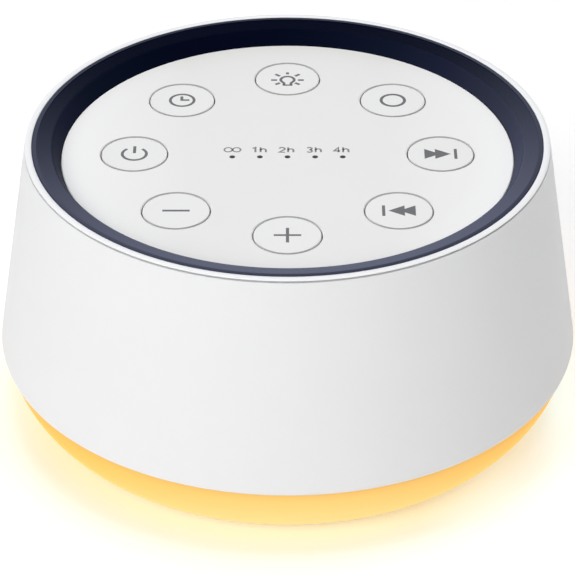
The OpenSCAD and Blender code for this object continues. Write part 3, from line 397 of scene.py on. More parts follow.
# Glow tones painted on the lit ring, from its bottom edge up to the shell, at its front and back and at its
# sides
# the darker amber just under the shell is painted shade, and the deeper orange at the sides is painted light
LIT_FRONT_TONES = [
    (0.0, (0.98, 0.76, 0.36)), (0.4, (0.98, 0.75, 0.36)), (0.8, (0.94, 0.66, 0.29)),
    (0.93, (0.88, 0.56, 0.24)), (1.0, (0.68, 0.44, 0.20))]
LIT_SIDE_TONES = [
    (0.0, (0.98, 0.53, 0.09)), (0.4, (0.97, 0.45, 0.0)), (0.8, (0.90, 0.40, 0.0)),
    (0.93, (0.78, 0.39, 0.06)), (1.0, (0.56, 0.36, 0.16))]

# Painted light on the dark ring's wall: its tones from the back to the front, palest in front
WALL_PAINTED_LIGHT_TONES = [
    (0.0, NAVY), (0.2, (0.0052, 0.0085, 0.021)), (0.38, (0.0125, 0.015, 0.036)),
    (0.55, (0.0228, 0.0265, 0.049)), (0.73, (0.036, 0.040, 0.068)), (1.0, (0.060, 0.066, 0.110))]


def surface(name, color, rough, metallic=0.0, mottle=0.04, grain=1800.0, bump=0.08, stretch=None,
            specular=0.5, rough_swing=0.05):
    """Moulded, painted or plated surface: faint cloudiness in the colour, uneven gloss and a fine grain."""
    mat = bpy.data.materials.new(name)
    mat.use_nodes = True
    tree = mat.node_tree
    shader = tree.nodes["Principled BSDF"]
    shader.inputs["Metallic"].default_value = metallic
    shader.inputs["Specular IOR Level"].default_value = specular
    place = coordinates(tree)
    cloud = noise(tree, place, CLOUD_SCALE, 3.0)
    fine = noise(tree, place, grain, 5.0, 0.6, stretch)
    dark = tuple(c * (1 - mottle) for c in color)
    pale = tuple(min(1.0, c * (1 + mottle)) for c in color)
    tone = blended(tree, ramp_between(tree, cloud, -0.4, 1.4), dark, pale)
    tree.links.new(tone, shader.inputs["Base Color"])
    gloss = ramp_between(tree, fine, rough - rough_swing, rough + rough_swing)
    tree.links.new(gloss, shader.inputs["Roughness"])
    bumper = tree.nodes.new("ShaderNodeBump")
    bumper.inputs["Strength"].default_value = bump
    bumper.inputs["Distance"].default_value = GRAIN_DEPTH
    tree.links.new(fine, bumper.inputs["Height"])
    tree.links.new(bumper.outputs["Normal"], shader.inputs["Normal"])
    return mat


def lit_plastic(name):
    """Frosted plastic lit from inside, its glow painted with light and shade: a darker amber under the
    shell, paler at the bottom, front and back, deeper orange at the sides.
    """
    mat = surface(name, (0.45, 0.25, 0.01), 0.42, mottle=0.03, grain=1400.0, bump=0.05, specular=0.15)
    tree = mat.node_tree
    shader = tree.nodes["Principled BSDF"]
    x, _, z = axes(tree, coordinates(tree))
    height = mapped(tree, z, Z_BASE * MM, Z_SHELL * MM)
    front = color_ramp(tree, height, LIT_FRONT_TONES)
    side = color_ramp(tree, height, LIT_SIDE_TONES)
    # Painted light: the glow turns a deeper orange towards the left and right
    sideways = mapped(tree, product(tree, x, x), 0.0, 0.056 ** 2)
    tree.links.new(blended(tree, sideways, front, side), shader.inputs["Emission Color"])
    shader.inputs["Emission Strength"].default_value = 0.66
    return mat


def panel_plastic(name):
    """Matt white with painted light: a little paler towards the left and right edges of the disc."""
    mat = surface(name, (0.845, 0.843, 0.825), 0.50, mottle=0.008, grain=3000.0, bump=0.05)
    tree = mat.node_tree
    place = coordinates(tree)
    side = mapped(tree, arithmetic(tree, "ABSOLUTE", axes(tree, place)[0]), 0.020, 0.042)
    edge = product(tree, mapped(tree, flat_radius(tree, place), 0.038, 0.0452), side)
    # Painted light: the left and right of the disc, and its edge there, are paler
    paint_over(tree, side, (0.92, 0.918, 0.90))
    paint_over(tree, edge, (0.955, 0.955, 0.945))
    return mat


def edge_shade(name):
    """Painted shade on the rounded edges round the keys: grey where they face the front or the back, white
    at the sides.
    """
    mat = surface(name, (0.38, 0.38, 0.38), 0.60, mottle=0.05, grain=3000.0, bump=0.05, specular=0.2)
    tree = mat.node_tree
    normal = coordinates(tree, "Normal")
    facing = arithmetic(tree, "ABSOLUTE", axes(tree, normal)[1])
    facing = arithmetic(tree, "DIVIDE", facing, flat_radius(tree, normal))
    paint_over(tree, mapped(tree, facing, 0.85, 0.25), (0.84, 0.84, 0.83))
    return mat


def ring_paint(name):
    """The dark ring: a satin top with painted reflection, duller at the back and left, and a matt wall with
    painted light, paler in front.
    """
    mat = surface(name, NAVY, 0.24, mottle=0.04, grain=2400.0, bump=0.006, rough_swing=0.01)
    tree = mat.node_tree
    shader = tree.nodes["Principled BSDF"]
    x, y, _ = axes(tree, coordinates(tree))
    upward = axes(tree, coordinates(tree, "Normal"))[2]
    wall = mapped(tree, upward, 0.98, 0.90)
    level = mapped(tree, upward, 0.991, 0.999)
    # Painted reflection: the top reflects less towards the back and left, and more on the flat land
    painted_shine = ramp_between(tree, mapped(tree, backward(tree, x, y, 0.5), 0.052, 0.0), 0.15, 0.55)
    off_wall = arithmetic(tree, "SUBTRACT", 1.03, wall)
    painted_shine = product(tree, painted_shine, off_wall, ramp_between(tree, level, 1.0, 1.7))
    tree.links.new(painted_shine, shader.inputs["Specular IOR Level"])
    # Painted light: the wall is darker at the back and paler towards the front
    forward = mapped(tree, backward(tree, x, y, 0.3), 0.048, -0.018)
    paint_over(tree, wall, color_ramp(tree, forward, WALL_PAINTED_LIGHT_TONES))
    gloss = shader.inputs["Roughness"].links[0].from_socket
    rough = arithmetic(tree, "ADD", gloss, product(tree, wall, 0.3))
    tree.links.new(rough, shader.inputs["Roughness"])
    return mat


LOOKS = {
    "shell_white": dict(color=(0.83, 0.83, 0.83), rough=0.42, mottle=0.008, grain=2600.0, bump=0.035),
    "rim_white": dict(color=(0.885, 0.887, 0.89), rough=0.34, mottle=0.006, grain=2200.0, bump=0.03,
                      specular=0.25),
    "key_white": dict(color=(0.86, 0.858, 0.84), rough=0.46, mottle=0.008, grain=3000.0, bump=0.045),
    "print_grey": dict(color=(0.175, 0.175, 0.18), rough=0.60, mottle=0.08, grain=3500.0, bump=0.1),
    "label_grey": dict(color=(0.26, 0.26, 0.265), rough=0.60, mottle=0.08, grain=3500.0, bump=0.1),
    # Painted shade in the gaps round the keys
    "painted_gap_shade": dict(color=(0.80, 0.80, 0.80), rough=0.60, mottle=0.05, grain=3000.0, bump=0.05,
                     specular=0.2),
    # Painted shade in the seam between the shell and the rim
    "painted_seam_shade": dict(color=(0.66, 0.66, 0.665), rough=0.60, mottle=0.05, grain=3000.0, bump=0.05,
                      specular=0.2),
    "base_white": dict(color=(0.80, 0.80, 0.80), rough=0.50, mottle=0.012, grain=1800.0, bump=0.08),
    "foot_rubber": dict(color=(0.045, 0.045, 0.048), rough=0.75, mottle=0.15, grain=1500.0, bump=0.25),
    "reflector_white": dict(color=(0.86, 0.86, 0.83), rough=0.25, mottle=0.01, bump=0.03),
    "board_white": dict(color=(0.80, 0.80, 0.76), rough=0.40, mottle=0.02),
    "lamp_lens": dict(color=(0.86, 0.70, 0.24), rough=0.25, mottle=0.05),
    "board_green": dict(color=(0.02, 0.14, 0.06), rough=0.35, mottle=0.25, grain=900.0, bump=0.15),
    "switch_black": dict(color=(0.02, 0.02, 0.022), rough=0.5, mottle=0.1, bump=0.12),
    "plunger_grey": dict(color=(0.12, 0.12, 0.13), rough=0.5, mottle=0.08, bump=0.1),
    "smoked_guide": dict(color=(0.045, 0.045, 0.045), rough=0.30, mottle=0.10, bump=0.02, specular=0.2),
    "screw_steel": dict(color=(0.50, 0.50, 0.52), rough=0.32, metallic=1.0, mottle=0.06, grain=3000.0,
                        bump=0.12, stretch=(1, 1, 12)),
    "basket_steel": dict(color=(0.42, 0.43, 0.45), rough=0.36, metallic=1.0, mottle=0.08, grain=1500.0,
                         bump=0.12, stretch=(1, 1, 8)),
    "cone_paper": dict(color=(0.022, 0.022, 0.024), rough=0.85, mottle=0.25, grain=2500.0, bump=0.35),
    "surround_rubber": dict(color=(0.018, 0.018, 0.018), rough=0.6, mottle=0.1, bump=0.1),
    "spider_cloth": dict(color=(0.42, 0.25, 0.07), rough=0.85, mottle=0.12, grain=2600.0, bump=0.3),
    "coil_copper": dict(color=(0.62, 0.26, 0.10), rough=0.3, metallic=1.0, mottle=0.1, grain=2500.0,
                        bump=0.3, stretch=(1, 1, 30)),
    "magnet_ferrite": dict(color=(0.05, 0.05, 0.055), rough=0.55, mottle=0.2, grain=1200.0, bump=0.3),
    "terminal_paper": dict(color=(0.20, 0.09, 0.03), rough=0.6, mottle=0.15, bump=0.15),
    "chip_black": dict(color=(0.016, 0.016, 0.018), rough=0.55, mottle=0.1, grain=3000.0, bump=0.2),
    "can_aluminium": dict(color=(0.66, 0.67, 0.69), rough=0.25, metallic=1.0, mottle=0.04, grain=2500.0,
                          bump=0.1, stretch=(1, 1, 20)),
    "socket_cream": dict(color=(0.74, 0.68, 0.47), rough=0.45, mottle=0.05, bump=0.08),
    "socket_steel": dict(color=(0.55, 0.56, 0.58), rough=0.25, metallic=1.0, mottle=0.05, grain=2500.0,
                         bump=0.08, stretch=(1, 14, 1)),
    "ribbon_grey": dict(color=(0.24, 0.24, 0.26), rough=0.4, mottle=0.1, grain=900.0, bump=0.25,
                        stretch=(1, 0.02, 0.02)),
    "lead_red": dict(color=(0.36, 0.012, 0.010), rough=0.4, mottle=0.08, bump=0.08),
    "lead_yellow": dict(color=(0.62, 0.36, 0.02), rough=0.4, mottle=0.08, bump=0.08),
}
M = {name: surface(name, **look) for name, look in LOOKS.items()}
for paint_name, paint_maker in (("accent_navy", ring_paint), ("panel_white", panel_plastic),
                                ("edge_grey", edge_shade), ("diffuser", lit_plastic)):
    M[paint_name] = paint_maker(paint_name)


def finish(obj, body, slot, *stands_for, paint=None):
    obj.data.materials.clear()
    obj.data.materials.append(M[paint or slot])
    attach(obj, body)
    if stands_for:
        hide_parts(*stands_for)
    return obj


def paint_where(obj, paint, test):
    """Gives some faces a paint of their own; the test takes the x, y and z of a face's middle, in mm."""
    obj.data.materials.append(M[paint])
    for face in obj.data.polygons:
        if test(*(face.center / MM)):
            face.material_index = len(obj.data.materials) - 1
    return obj


# ------------------------------------------------------------------ shell, rim and dark ring

def wall_plate(r_foot, r_head, z0, z1):
    """A plate from two radii at its foot and its head out to a place within the shell's wall."""
    sink = 1.2
    return [(r_foot, z0), (shell_in(z0) + sink, z0), (shell_in(z1) + sink, z1), (r_head, z1)]


def rounded_rectangle(width, height, r):
    w, h = width / 2 - r, height / 2 - r
    corners = ((w, h), (-w, h), (-w, -h), (w, -h))
    return [point for i, c in enumerate(corners) for point in arc(c, r, 90 * i, 90 * (i + 1))]


def shell_outline(z_low):
    lean = math.cos(math.radians(TAPER_A))
    top_edge_r = 0.15
    z_edge, z_top_edge = Z_SHELL + SHELL_EDGE_R, Z_SEAM - top_edge_r
    outline = arc((shell_r(z_edge) - SHELL_EDGE_R / lean, z_edge), SHELL_EDGE_R, -90, TAPER_A, 14)
    outline += arc((shell_r(z_top_edge) - top_edge_r / lean, z_top_edge), top_edge_r, TAPER_A, 90, 5)
    outline += [(R_RABBET, Z_SEAM), (R_RABBET, Z_RABBET), (R_RIM_IN, Z_RABBET), (R_RIM_IN, Z_LEDGE)]
    outline += [(R_LEDGE, Z_LEDGE), (R_LEDGE, z_low)]
    return outline + [(shell_in(z_low), z_low), (shell_in(Z_SHELL), Z_SHELL)]


def power_port():
    """The rear opening for the power socket, from outside the shell to well within its wall."""
    bm = bmesh.new()
    place = Matrix.Translation((0, 0, SOCKET_Z * MM)) @ Matrix.Rotation(math.pi / 2, 4, "X")
    r_outer, r_inner = SHELL_R + 1, shell_in(SOCKET_Z) - 4
    add_prism(bm, rounded_rectangle(PORT_W, PORT_H, PORT_R), -r_outer, -r_inner, place)
    return make("port", bm)


def build_shell():
    posts = polar(POST_RING_R, POST_ANGLES)
    screws = polar(R_PANEL_SCREW, PANEL_SCREW_ANGLES)
    z_low, z_boss = Z_LEDGE - LEDGE_T, Z_POST + BOSS_H
    shell = lathe("shell", shell_outline(z_low), SEGMENTS)
    z0, z1 = Z_LAMP_BOARD + SIDE_GAP, z_low + 0.01
    rib = wall_plate(shell_in(z0) - RIB_W, shell_in(z1) - RIB_W, z0, z1)
    fuse(shell, plates("ribs", RIB_ANGLES, RIB_T, rib))
    web = wall_plate(POST_RING_R, POST_RING_R, Z_LAMP_BOARD + 0.6, z_boss)
    fuse(shell, plates("webs", POST_ANGLES, RIB_T, web))
    fuse(shell, rods("bosses", posts, POST_R, Z_POST, z_boss))
    cut(shell, rods("pilots", posts, BASE_SCREW_R + PUSH_FIT, Z_POST - 1, Z_POST + BASE_PILOT_H))
    cut(shell, rods("clearances", screws, SMALL_SCREW_R + SCREW_GAP, z_low - 1, Z_LEDGE + 1))
    cut(shell, power_port())
    finish(shell, "housing", "shell_white", "outer_shell")
    # Painted shade on the shell's top ledge, down in the seam under the rim
    return paint_where(shell, "painted_seam_shade", lambda x, y, z: z > Z_SEAM - 0.01)


def build_rim():
    edge, crown = 0.15, 0.10
    mid, z_edge, z_lip = (R_RIM + R_RIM_IN) / 2, Z_TOP - crown - edge, Z_TOP - RIM_LIP_T
    outline = arc((R_RIM - edge, z_edge), edge, 0, 80, 8)
    outline += [(mid + RIM_W / 5, Z_TOP - crown / 6), (mid, Z_TOP), (mid - RIM_W / 5, Z_TOP - crown / 6)]
    outline += arc((R_RIM_IN + edge, z_edge), edge, 100, 180, 8)
    outline += [(R_RIM_IN, Z_RABBET), (R_SKIRT, Z_RABBET), (R_SKIRT, z_lip), (R_RIM, z_lip)]
    return finish(lathe("rim", outline, SEGMENTS, reach=0.03), "housing", "rim_white", "top_rim")


def accent_corner(depth):
    """Where the dark ring's falling face meets its wall when both are moved into the ring by a depth."""
    fall, slope = math.radians(ACCENT_FALL), math.radians(ACCENT_SLOPE)
    face = depth - Z_BROW * math.cos(fall) + R_LAND * math.sin(fall)
    wall = depth - Z_PANEL * math.cos(slope) + R_ACCENT_IN * math.sin(slope)
    turn = math.sin(slope - fall)
    r = (wall * math.cos(fall) - face * math.cos(slope)) / turn
    z = (wall * math.sin(fall) - face * math.sin(slope)) / turn
    return r, z


def accent_inside(depth, reach):
    """The dark ring's wall and face, moved in by a depth, from the flange up and out to a radius."""
    fall, slope = math.radians(ACCENT_FALL), math.radians(ACCENT_SLOPE)
    foot = R_ACCENT_IN + depth / math.sin(slope) - (Z_PANEL - Z_FLANGE) / math.tan(slope)
    ceiling = Z_BROW - (R_LAND - reach) * math.tan(fall) - depth / math.cos(fall)
    return [(foot, Z_FLANGE), accent_corner(depth), (reach, ceiling)]


def accent_outline():
    outline = [(R_ACCENT, Z_LEDGE)]
    outline += arc((R_ACCENT - LAND_EDGE_R, Z_ACCENT - LAND_EDGE_R), LAND_EDGE_R, 0, 90, 6)
    outline += [(R_LAND, Z_ACCENT), (R_LAND, Z_BROW)]
    shoulder = accent_corner(ACCENT_SHOULDER_R)
    outline += arc(shoulder, ACCENT_SHOULDER_R, 90 + ACCENT_FALL, 90 + ACCENT_SLOPE, 12)
    outline += [(R_ACCENT_IN, Z_PANEL), (R_ACCENT_IN, Z_FLANGE)]
    return outline + accent_inside(ACCENT_WALL, R_ACCENT_WALL) + [(R_ACCENT_WALL, Z_LEDGE)]


def build_accent():
    screws = polar(R_PANEL_SCREW, PANEL_SCREW_ANGLES)
    boss_r, boss_skin, core_r = 2.1, 0.5, R_ACCENT_WALL + 0.7
    ring = lathe("dark_ring", accent_outline(), SEGMENTS)
    core = lathe("core", accent_inside(boss_skin, core_r) + [(core_r, Z_FLANGE)], SEGMENTS)
    bosses = rods("bosses", screws, boss_r, Z_FLANGE + 0.02, Z_BROW - ACCENT_WALL)
    fuse(ring, boolean(bosses, core, "INTERSECT"))
    cut(ring, rods("pilots", screws, SMALL_SCREW_R + PUSH_FIT, Z_FLANGE - 1, Z_PANEL_SCREW + 0.25))
    return finish(ring, "housing", "accent_navy", "accent_ring")


# ------------------------------------------------------------------ panel and keys

PANEL_EDGE_R, KEY_EDGE = 0.25, 0.20
R_KEY_HOLE, KEY_HOLE_EDGE = KEY_R + KEY_GAP + 0.01, 0.18
R_KEY_SIDE = KEY_R - 0.05
KEY_WEB_T, KEY_WEB_H, GUIDE_BAR_T = 0.8, 2, 1.4
Z_IN_PANEL = Z_UNDER + 0.2
Z_GUIDE = Z_UNDER - KEY_GUIDE_H
Z_KEY_FLANGE = Z_GUIDE - 0.1
Z_KEY_UNDER = Z_PANEL - KEY_CAP_T
STEM_DROP, PLUNGER_OUT, SWITCH_H = 0.9, 1.7, 3.5
Z_STEM = Z_KEY_FLANGE - KEY_FLANGE_T - STEM_DROP
Z_KEY_BOARD = Z_STEM - PLUNGER_OUT - SWITCH_H
R_BOARD_BOSS, BOARD_BOSS_R = 38.6, 2.5
BOARD_BOSS_ANGLES = [22.5 + 90 * i for i in range(4)]
INDICATOR_X = [(i - 2) * INDICATOR_PITCH for i in range(5)]
STAKE_X, STAKE_R, STAKE_HEAD_R = INDICATOR_X[4] + GUIDE_PIN_R + 2.4, 0.8, 1.3
PANEL_RIB_T, PANEL_RIB_H, R_HUB, R_HUB_IN = 1.2, 1.8, 19, 17.8
KEY_PLACES = polar(KEY_RING_R, KEY_ANGLES.values())


def near_key(x, y, reach):
    return any(math.hypot(x - a, y - b) < reach for a, b in KEY_PLACES)


def in_key_gap(x, y, z):
    """Whether a place is on the upright wall of a key's hole."""
    on_wall = near_key(x, y, R_KEY_HOLE + 0.05) and not near_key(x, y, R_KEY_HOLE - 0.05)
    return Z_GUIDE < z < Z_PANEL - KEY_HOLE_EDGE and on_wall


def on_key_hole_edge(x, y, z):
    """Whether a place is on the slant at the top of a key's hole."""
    return Z_PANEL - KEY_HOLE_EDGE < z < Z_PANEL - 0.01 and near_key(x, y, R_KEY_HOLE + KEY_HOLE_EDGE)


def panel_blank():
    r_step = R_LEDGE - 1
    outline = [(0, Z_UNDER), (r_step, Z_UNDER), (r_step, Z_LEDGE)]
    outline += [(R_FLANGE, Z_LEDGE), (R_FLANGE, Z_FLANGE), (R_PANEL, Z_FLANGE)]
    outline += arc((R_PANEL - PANEL_EDGE_R, Z_PANEL - PANEL_EDGE_R), PANEL_EDGE_R, 0, 90, 8)
    return lathe("panel", outline + [(0, Z_PANEL)], SEGMENTS)


def stiffen_panel(panel):
    """A hub and eight ribs under the panel."""
    z_rib = Z_UNDER - PANEL_RIB_H
    bm = bmesh.new()
    add_lathe(bm, rectangle(R_HUB_IN, z_rib, R_HUB, Z_IN_PANEL), 96)
    fuse(panel, make("ring_rib", bm))
    rib = rectangle((R_HUB_IN + R_HUB) / 2, z_rib, R_BOARD_BOSS, Z_IN_PANEL)
    fuse(panel, plates("ribs", RIB_ANGLES, PANEL_RIB_T, rib))


def key_holes():
    """Round holes with a small slant at the top."""
    r_top = R_KEY_HOLE + KEY_HOLE_EDGE
    outline = [(0, Z_GUIDE - 1), (R_KEY_HOLE, Z_GUIDE - 1), (R_KEY_HOLE, Z_PANEL - KEY_HOLE_EDGE)]
    outline += [(r_top, Z_PANEL), (r_top, Z_PANEL + 1), (0, Z_PANEL + 1)]
    bm = bmesh.new()
    for at in KEY_PLACES:
        add_lathe(bm, outline, KEY_SEGMENTS, at)
    return make("key_holes", bm)


def build_panel():
    board_bosses = polar(R_BOARD_BOSS, BOARD_BOSS_ANGLES)
    stakes = [(-STAKE_X, INDICATOR_Y), (STAKE_X, INDICATOR_Y)]
    screws = polar(R_PANEL_SCREW, PANEL_SCREW_ANGLES)
    windows = [(x, INDICATOR_Y) for x in INDICATOR_X]
    pilot_r, clear_r = SMALL_SCREW_R + PUSH_FIT, SMALL_SCREW_R + SCREW_GAP
    z_head = Z_UNDER - 0.1 - GUIDE_BAR_T
    panel = panel_blank()
    fuse(panel, rods("guides", KEY_PLACES, R_KEY_HOLE + KEY_GUIDE_T, Z_GUIDE, Z_IN_PANEL, 64))
    fuse(panel, rods("bosses", board_bosses, BOARD_BOSS_R, Z_KEY_BOARD, Z_IN_PANEL))
    stiffen_panel(panel)
    fuse(panel, rods("stakes", stakes, STAKE_R, z_head - 0.3, Z_IN_PANEL, 24))
    fuse(panel, rods("stake_heads", stakes, STAKE_HEAD_R, z_head - 0.6, z_head, 24))
    cut(panel, key_holes())
    slot_w, slot_r = TAB_W / 2 + KEY_GAP, KEY_RING_R + R_KEY_HOLE + 2
    slots = [(KEY_RING_R, -slot_w, Z_GUIDE - 1, slot_r, slot_w, Z_UNDER, a) for a in KEY_ANGLES.values()]
    cut(panel, boxes("slots", slots))
    cut(panel, rods("pilots", board_bosses, pilot_r, Z_KEY_BOARD - 1, Z_KEY_BOARD + PANEL_PILOT_H, 24))
    cut(panel, rods("clearances", screws, clear_r, Z_LEDGE - 1, Z_FLANGE + 1, 32))
    cut(panel, rods("windows", windows, TIP_R + PUSH_FIT, Z_UNDER - 1, Z_PANEL + 1, 40))
    finish(panel, "housing", "panel_white", "key_panel")
    # Painted shade on the upright walls of the key holes
    paint_where(panel, "painted_gap_shade", in_key_gap)
    # Painted shade: the slants at the tops of the key holes, grey at the front and back
    return paint_where(panel, "edge_grey", on_key_hole_edge)


def key_outline():
    """The cap with its rounded edge, the skirt with the flange that holds it, and the stem in the middle."""
    r_flange, r_inner = KEY_R + KEY_FLANGE_W, KEY_R - KEY_SKIRT_T
    z_foot = Z_KEY_FLANGE - KEY_FLANGE_T
    outline = [(0, Z_PANEL)] + arc((R_KEY_SIDE - KEY_EDGE, Z_PANEL - KEY_EDGE), KEY_EDGE, 90, 0, 8)
    outline += [(R_KEY_SIDE, Z_KEY_FLANGE), (r_flange, Z_KEY_FLANGE), (r_flange, z_foot), (r_inner, z_foot)]
    return outline + [(r_inner, Z_KEY_UNDER), (KEY_STEM_R, Z_KEY_UNDER), (KEY_STEM_R, Z_STEM), (0, Z_STEM)]


def build_key(name, angle):
    at = polar(KEY_RING_R, [angle])[0]
    turn = Matrix.Rotation(math.radians(angle), 4, "Z")
    w, t = KEY_R - KEY_SKIRT_T + 0.2, KEY_WEB_T / 2
    z_web, z_in_cap = Z_KEY_UNDER - KEY_WEB_H, Z_KEY_UNDER + 0.2
    key = lathe(name + "_key", key_outline(), KEY_SEGMENTS, at)
    bm = bmesh.new()
    add_prism(bm, rectangle(KEY_RING_R - w, -t, KEY_RING_R + w, t), z_web, z_in_cap, turn)
    tab = rectangle(KEY_RING_R + (KEY_R - 0.4), -TAB_W / 2, KEY_RING_R + (KEY_R + TAB_REACH), TAB_W / 2)
    add_prism(bm, tab, Z_KEY_FLANGE - 0.2, Z_UNDER - 0.3, turn)
    fuse(key, make("web", bm))
    bm = bmesh.new()
    add_prism(bm, rectangle(KEY_RING_R - t, -w, KEY_RING_R + t, w), z_web, z_in_cap, turn)
    fuse(key, make("cross_web", bm))

    def outside(x, y):
        return math.hypot(x - at[0], y - at[1]) > R_KEY_SIDE - KEY_EDGE

    def on_side(x, y, z):
        return outside(x, y) and Z_KEY_UNDER < z < Z_PANEL - KEY_EDGE

    def on_edge(x, y, z):
        return outside(x, y) and Z_PANEL - KEY_EDGE < z < Z_PANEL - 0.002

    finish(key, name + "_key", "key_white", name + "_button")
    # Painted shade on the key's side within its gap
    paint_where(key, "painted_gap_shade", on_side)
    # Painted shade: the key's rounded edge, grey at the front and back
    return paint_where(key, "edge_grey", on_edge)


# ------------------------------------------------------------------ printed marks

INK_LOW, INK_HIGH = Z_PANEL - 0.03, Z_PANEL + 0.012
LABEL_BASE, LABEL_LINE, ENDLESS_LINE = 0.66, 0.40, 0.34


def stroke_sides(points, width, closed):
    """The left and the right side of a line of even width along a path, with pointed corners."""
    n = len(points)
    left, right = [], []
    for i, here in enumerate(points):
        steps = []
        if closed or i:
            steps.append(Vector(here) - Vector(points[(i - 1) % n]))
        if closed or i < n - 1:
            steps.append(Vector(points[(i + 1) % n]) - Vector(here))
        steps = [step.normalized() for step in steps]
        along = sum(steps, Vector((0, 0))).normalized()
        normal = Vector((-along.y, along.x))
        half = width / 2 / max(0.5, normal.dot(Vector((-steps[0].y, steps[0].x))))
        left.append(Vector(here) + normal * half)
        right.append(Vector(here) - normal * half)
    return left, right


def add_stroke(bm, points, width, at=(0, 0), closed=False):
    """A printed line of even width along a path."""
    n = len(points)
    corners = []
    for side in stroke_sides(points, width, closed):
        for z in (INK_LOW, INK_HIGH):
            corners.append([bm.verts.new(((x + at[0]) * MM, (y + at[1]) * MM, z * MM)) for x, y in side])
    left_low, left_high, right_low, right_high = corners
    loop = [left_low, left_high, right_high, right_low]
    for i in range(n if closed else n - 1):
        k = (i + 1) % n
        for p, q in zip(loop, loop[1:] + loop[:1]):
            bm.faces.new((p[i], p[k], q[k], q[i]))
    if not closed:
        for i in (0, n - 1):
            bm.faces.new([row[i] for row in loop])


def add_shape(bm, points, at):
    add_prism(bm, [(x + at[0], y + at[1]) for x, y in points], INK_LOW, INK_HIGH)


def circle_path(r, c=(0, 0), n=64):
    return arc(c, r, 0, 360 * (n - 1) / n, n - 1)


def mark_power(bm, at):
    add_stroke(bm, arc((0, 0), 2.45, 128, 412, 48), 0.60, at)
    add_stroke(bm, [(0, 0.3), (0, 3.05)], 0.62, at)


def mark_timer(bm, at):
    add_stroke(bm, circle_path(2.48), 0.60, at, closed=True)
    add_stroke(bm, [(-0.1, 1.6), (-0.1, 0.08), (1.5, 0.08)], 0.60, at)


def mark_light(bm, at):
    """A bulb over its base, with one ray above it and three on either side."""
    bulb = [(-0.74, -2.55), (-0.74, -1.75)]
    bulb += arc((0, -0.38), 1.42, 226, -46, 30) + [(0.74, -1.75), (0.74, -2.55)]
    add_stroke(bm, bulb, 0.60, at)
    add_stroke(bm, [(-1.02, -2.66), (1.02, -2.66)], 0.52, at)
    rays = [(0, 2.0, 0, 2.8), (1.6, 1.2, 2.55, 2.02), (2.2, -0.5, 3.45, -0.5), (1.6, -1.72, 2.55, -2.4)]
    for x0, y0, x1, y1 in rays:
        add_stroke(bm, [(x0, y0), (x1, y1)], 0.64, at)
        if x0:
            add_stroke(bm, [(-x0, y0), (-x1, y1)], 0.64, at)


def mark_mode(bm, at):
    add_stroke(bm, circle_path(2.44), 0.64, at, closed=True)


def mark_skip(bm, at, s):
    """Two arrowheads in a row and a bar; s is 1 for next and -1 for previous."""
    t, h = 1.94, 3.2
    x0, x1 = -3.3, -1.13
    waist = t * (1 - (x1 - x0) / h)
    arrows = [(x0, -t), (x1, -waist), (x1, -t), (x1 + h, 0), (x1, t), (x1, waist), (x0, t)]
    for shape in (arrows, rectangle(2.72, -1.96, 3.34, 1.96)):
        add_shape(bm, [(s * x, y) for x, y in shape][::s], at)


def mark_plus(bm, at):
    a, b = 2.68, 0.31
    arm = [(a, -b), (a, b), (b, b)]
    points = []
    for _ in range(4):
        points += arm
        arm = [(-y, x) for x, y in arm]
    add_shape(bm, points, at)


def mark_minus(bm, at):
    add_shape(bm, rectangle(-2.7, -0.33, 2.7, 0.33), at)


def mark_next(bm, at):
    mark_skip(bm, at, 1)


def mark_previous(bm, at):
    mark_skip(bm, at, -1)


MARKS = {
    "power": mark_power, "timer": mark_timer, "light": mark_light, "mode": mark_mode, "next": mark_next,
    "previous": mark_previous, "volume_up": mark_plus, "volume_down": mark_minus,
}

GLYPHS = {
    "1": [[(-0.42, 1.52), (0.18, 1.9), (0.18, 0)]],
    "2": [arc((0, 1.36), 0.54, 170, -32, 14) + [(-0.58, 0.0), (0.6, 0.0)]],
    "3": [arc((-0.02, 1.43), 0.47, 155, -90, 14), arc((-0.02, 0.5), 0.5, 88, -155, 14)],
    "4": [[(0.64, 0.5), (-0.64, 0.5), (0.26, 1.9), (0.26, 0.0)]],
    "h": [[(0, 0), (0, 1.95)], [(0.02, 0.8)] + arc((0.55, 0.8), 0.53, 165, 0, 12) + [(1.08, 0)]],
}


def build_mark(name, angle):
    bm = bmesh.new()
    MARKS[name](bm, polar(KEY_RING_R, [angle])[0])
    return finish(make(name + "_mark", bm), name + "_key", "key_white", paint="print_grey")


def build_labels():
    """Hours above the indicators, and the endless sign over the first."""
    bm = bmesh.new()
    turn = [2 * math.pi * i / 40 for i in range(40)]
    loop = [(0.80 * math.cos(t), 0.84 * math.sin(t)) for t in turn]
    for s in (-1, 1):
        add_stroke(bm, loop, ENDLESS_LINE, (INDICATOR_X[0] + s * 0.86, LABEL_BASE + 0.98), closed=True)
    for x, digit in zip(INDICATOR_X[1:], "1234"):
        for glyph, left in ((digit, x - 1.1), ("h", x + 0.12)):
            for path in GLYPHS[glyph]:
                add_stroke(bm, path, LABEL_LINE, (left, LABEL_BASE))
    return finish(make("timer_labels", bm), "housing", "key_white", paint="label_grey")


def build_indicator_rims():
    """A fine dark line round each indicator's window."""
    bm = bmesh.new()
    for x in INDICATOR_X:
        add_stroke(bm, circle_path(TIP_R + 0.05, n=32), 0.10, (x, INDICATOR_Y), closed=True)
    return finish(make("indicator_rims", bm), "housing", "key_white", paint="print_grey")


# ------------------------------------------------------------------ lit ring, base plate and feet

LOW_EDGE = 0.4
SPEAKER_SEAT_R, SPEAKER_SEAT_IN_R, SPEAKER_SEAT_H = 24.8, 22.0, 2.0
SPEAKER_CORNER, CORNER_R, CORNER_H = 20.5, 2.7, 3.4
STANDOFFS = [(-20.5, 30.5), (20.5, 30.5), (0, R_INNER_FLANGE - 2.6)]
STANDOFF_R, STANDOFF_PILOT_H, Z_MAIN_BOARD = 2.5, 8, 24.4
SLOT_PITCH, SLOT_W, GRILLE_WEB_W = 4, 2, 2.4
Z_IN_PLATE = Z_PLATE_TOP - 0.3


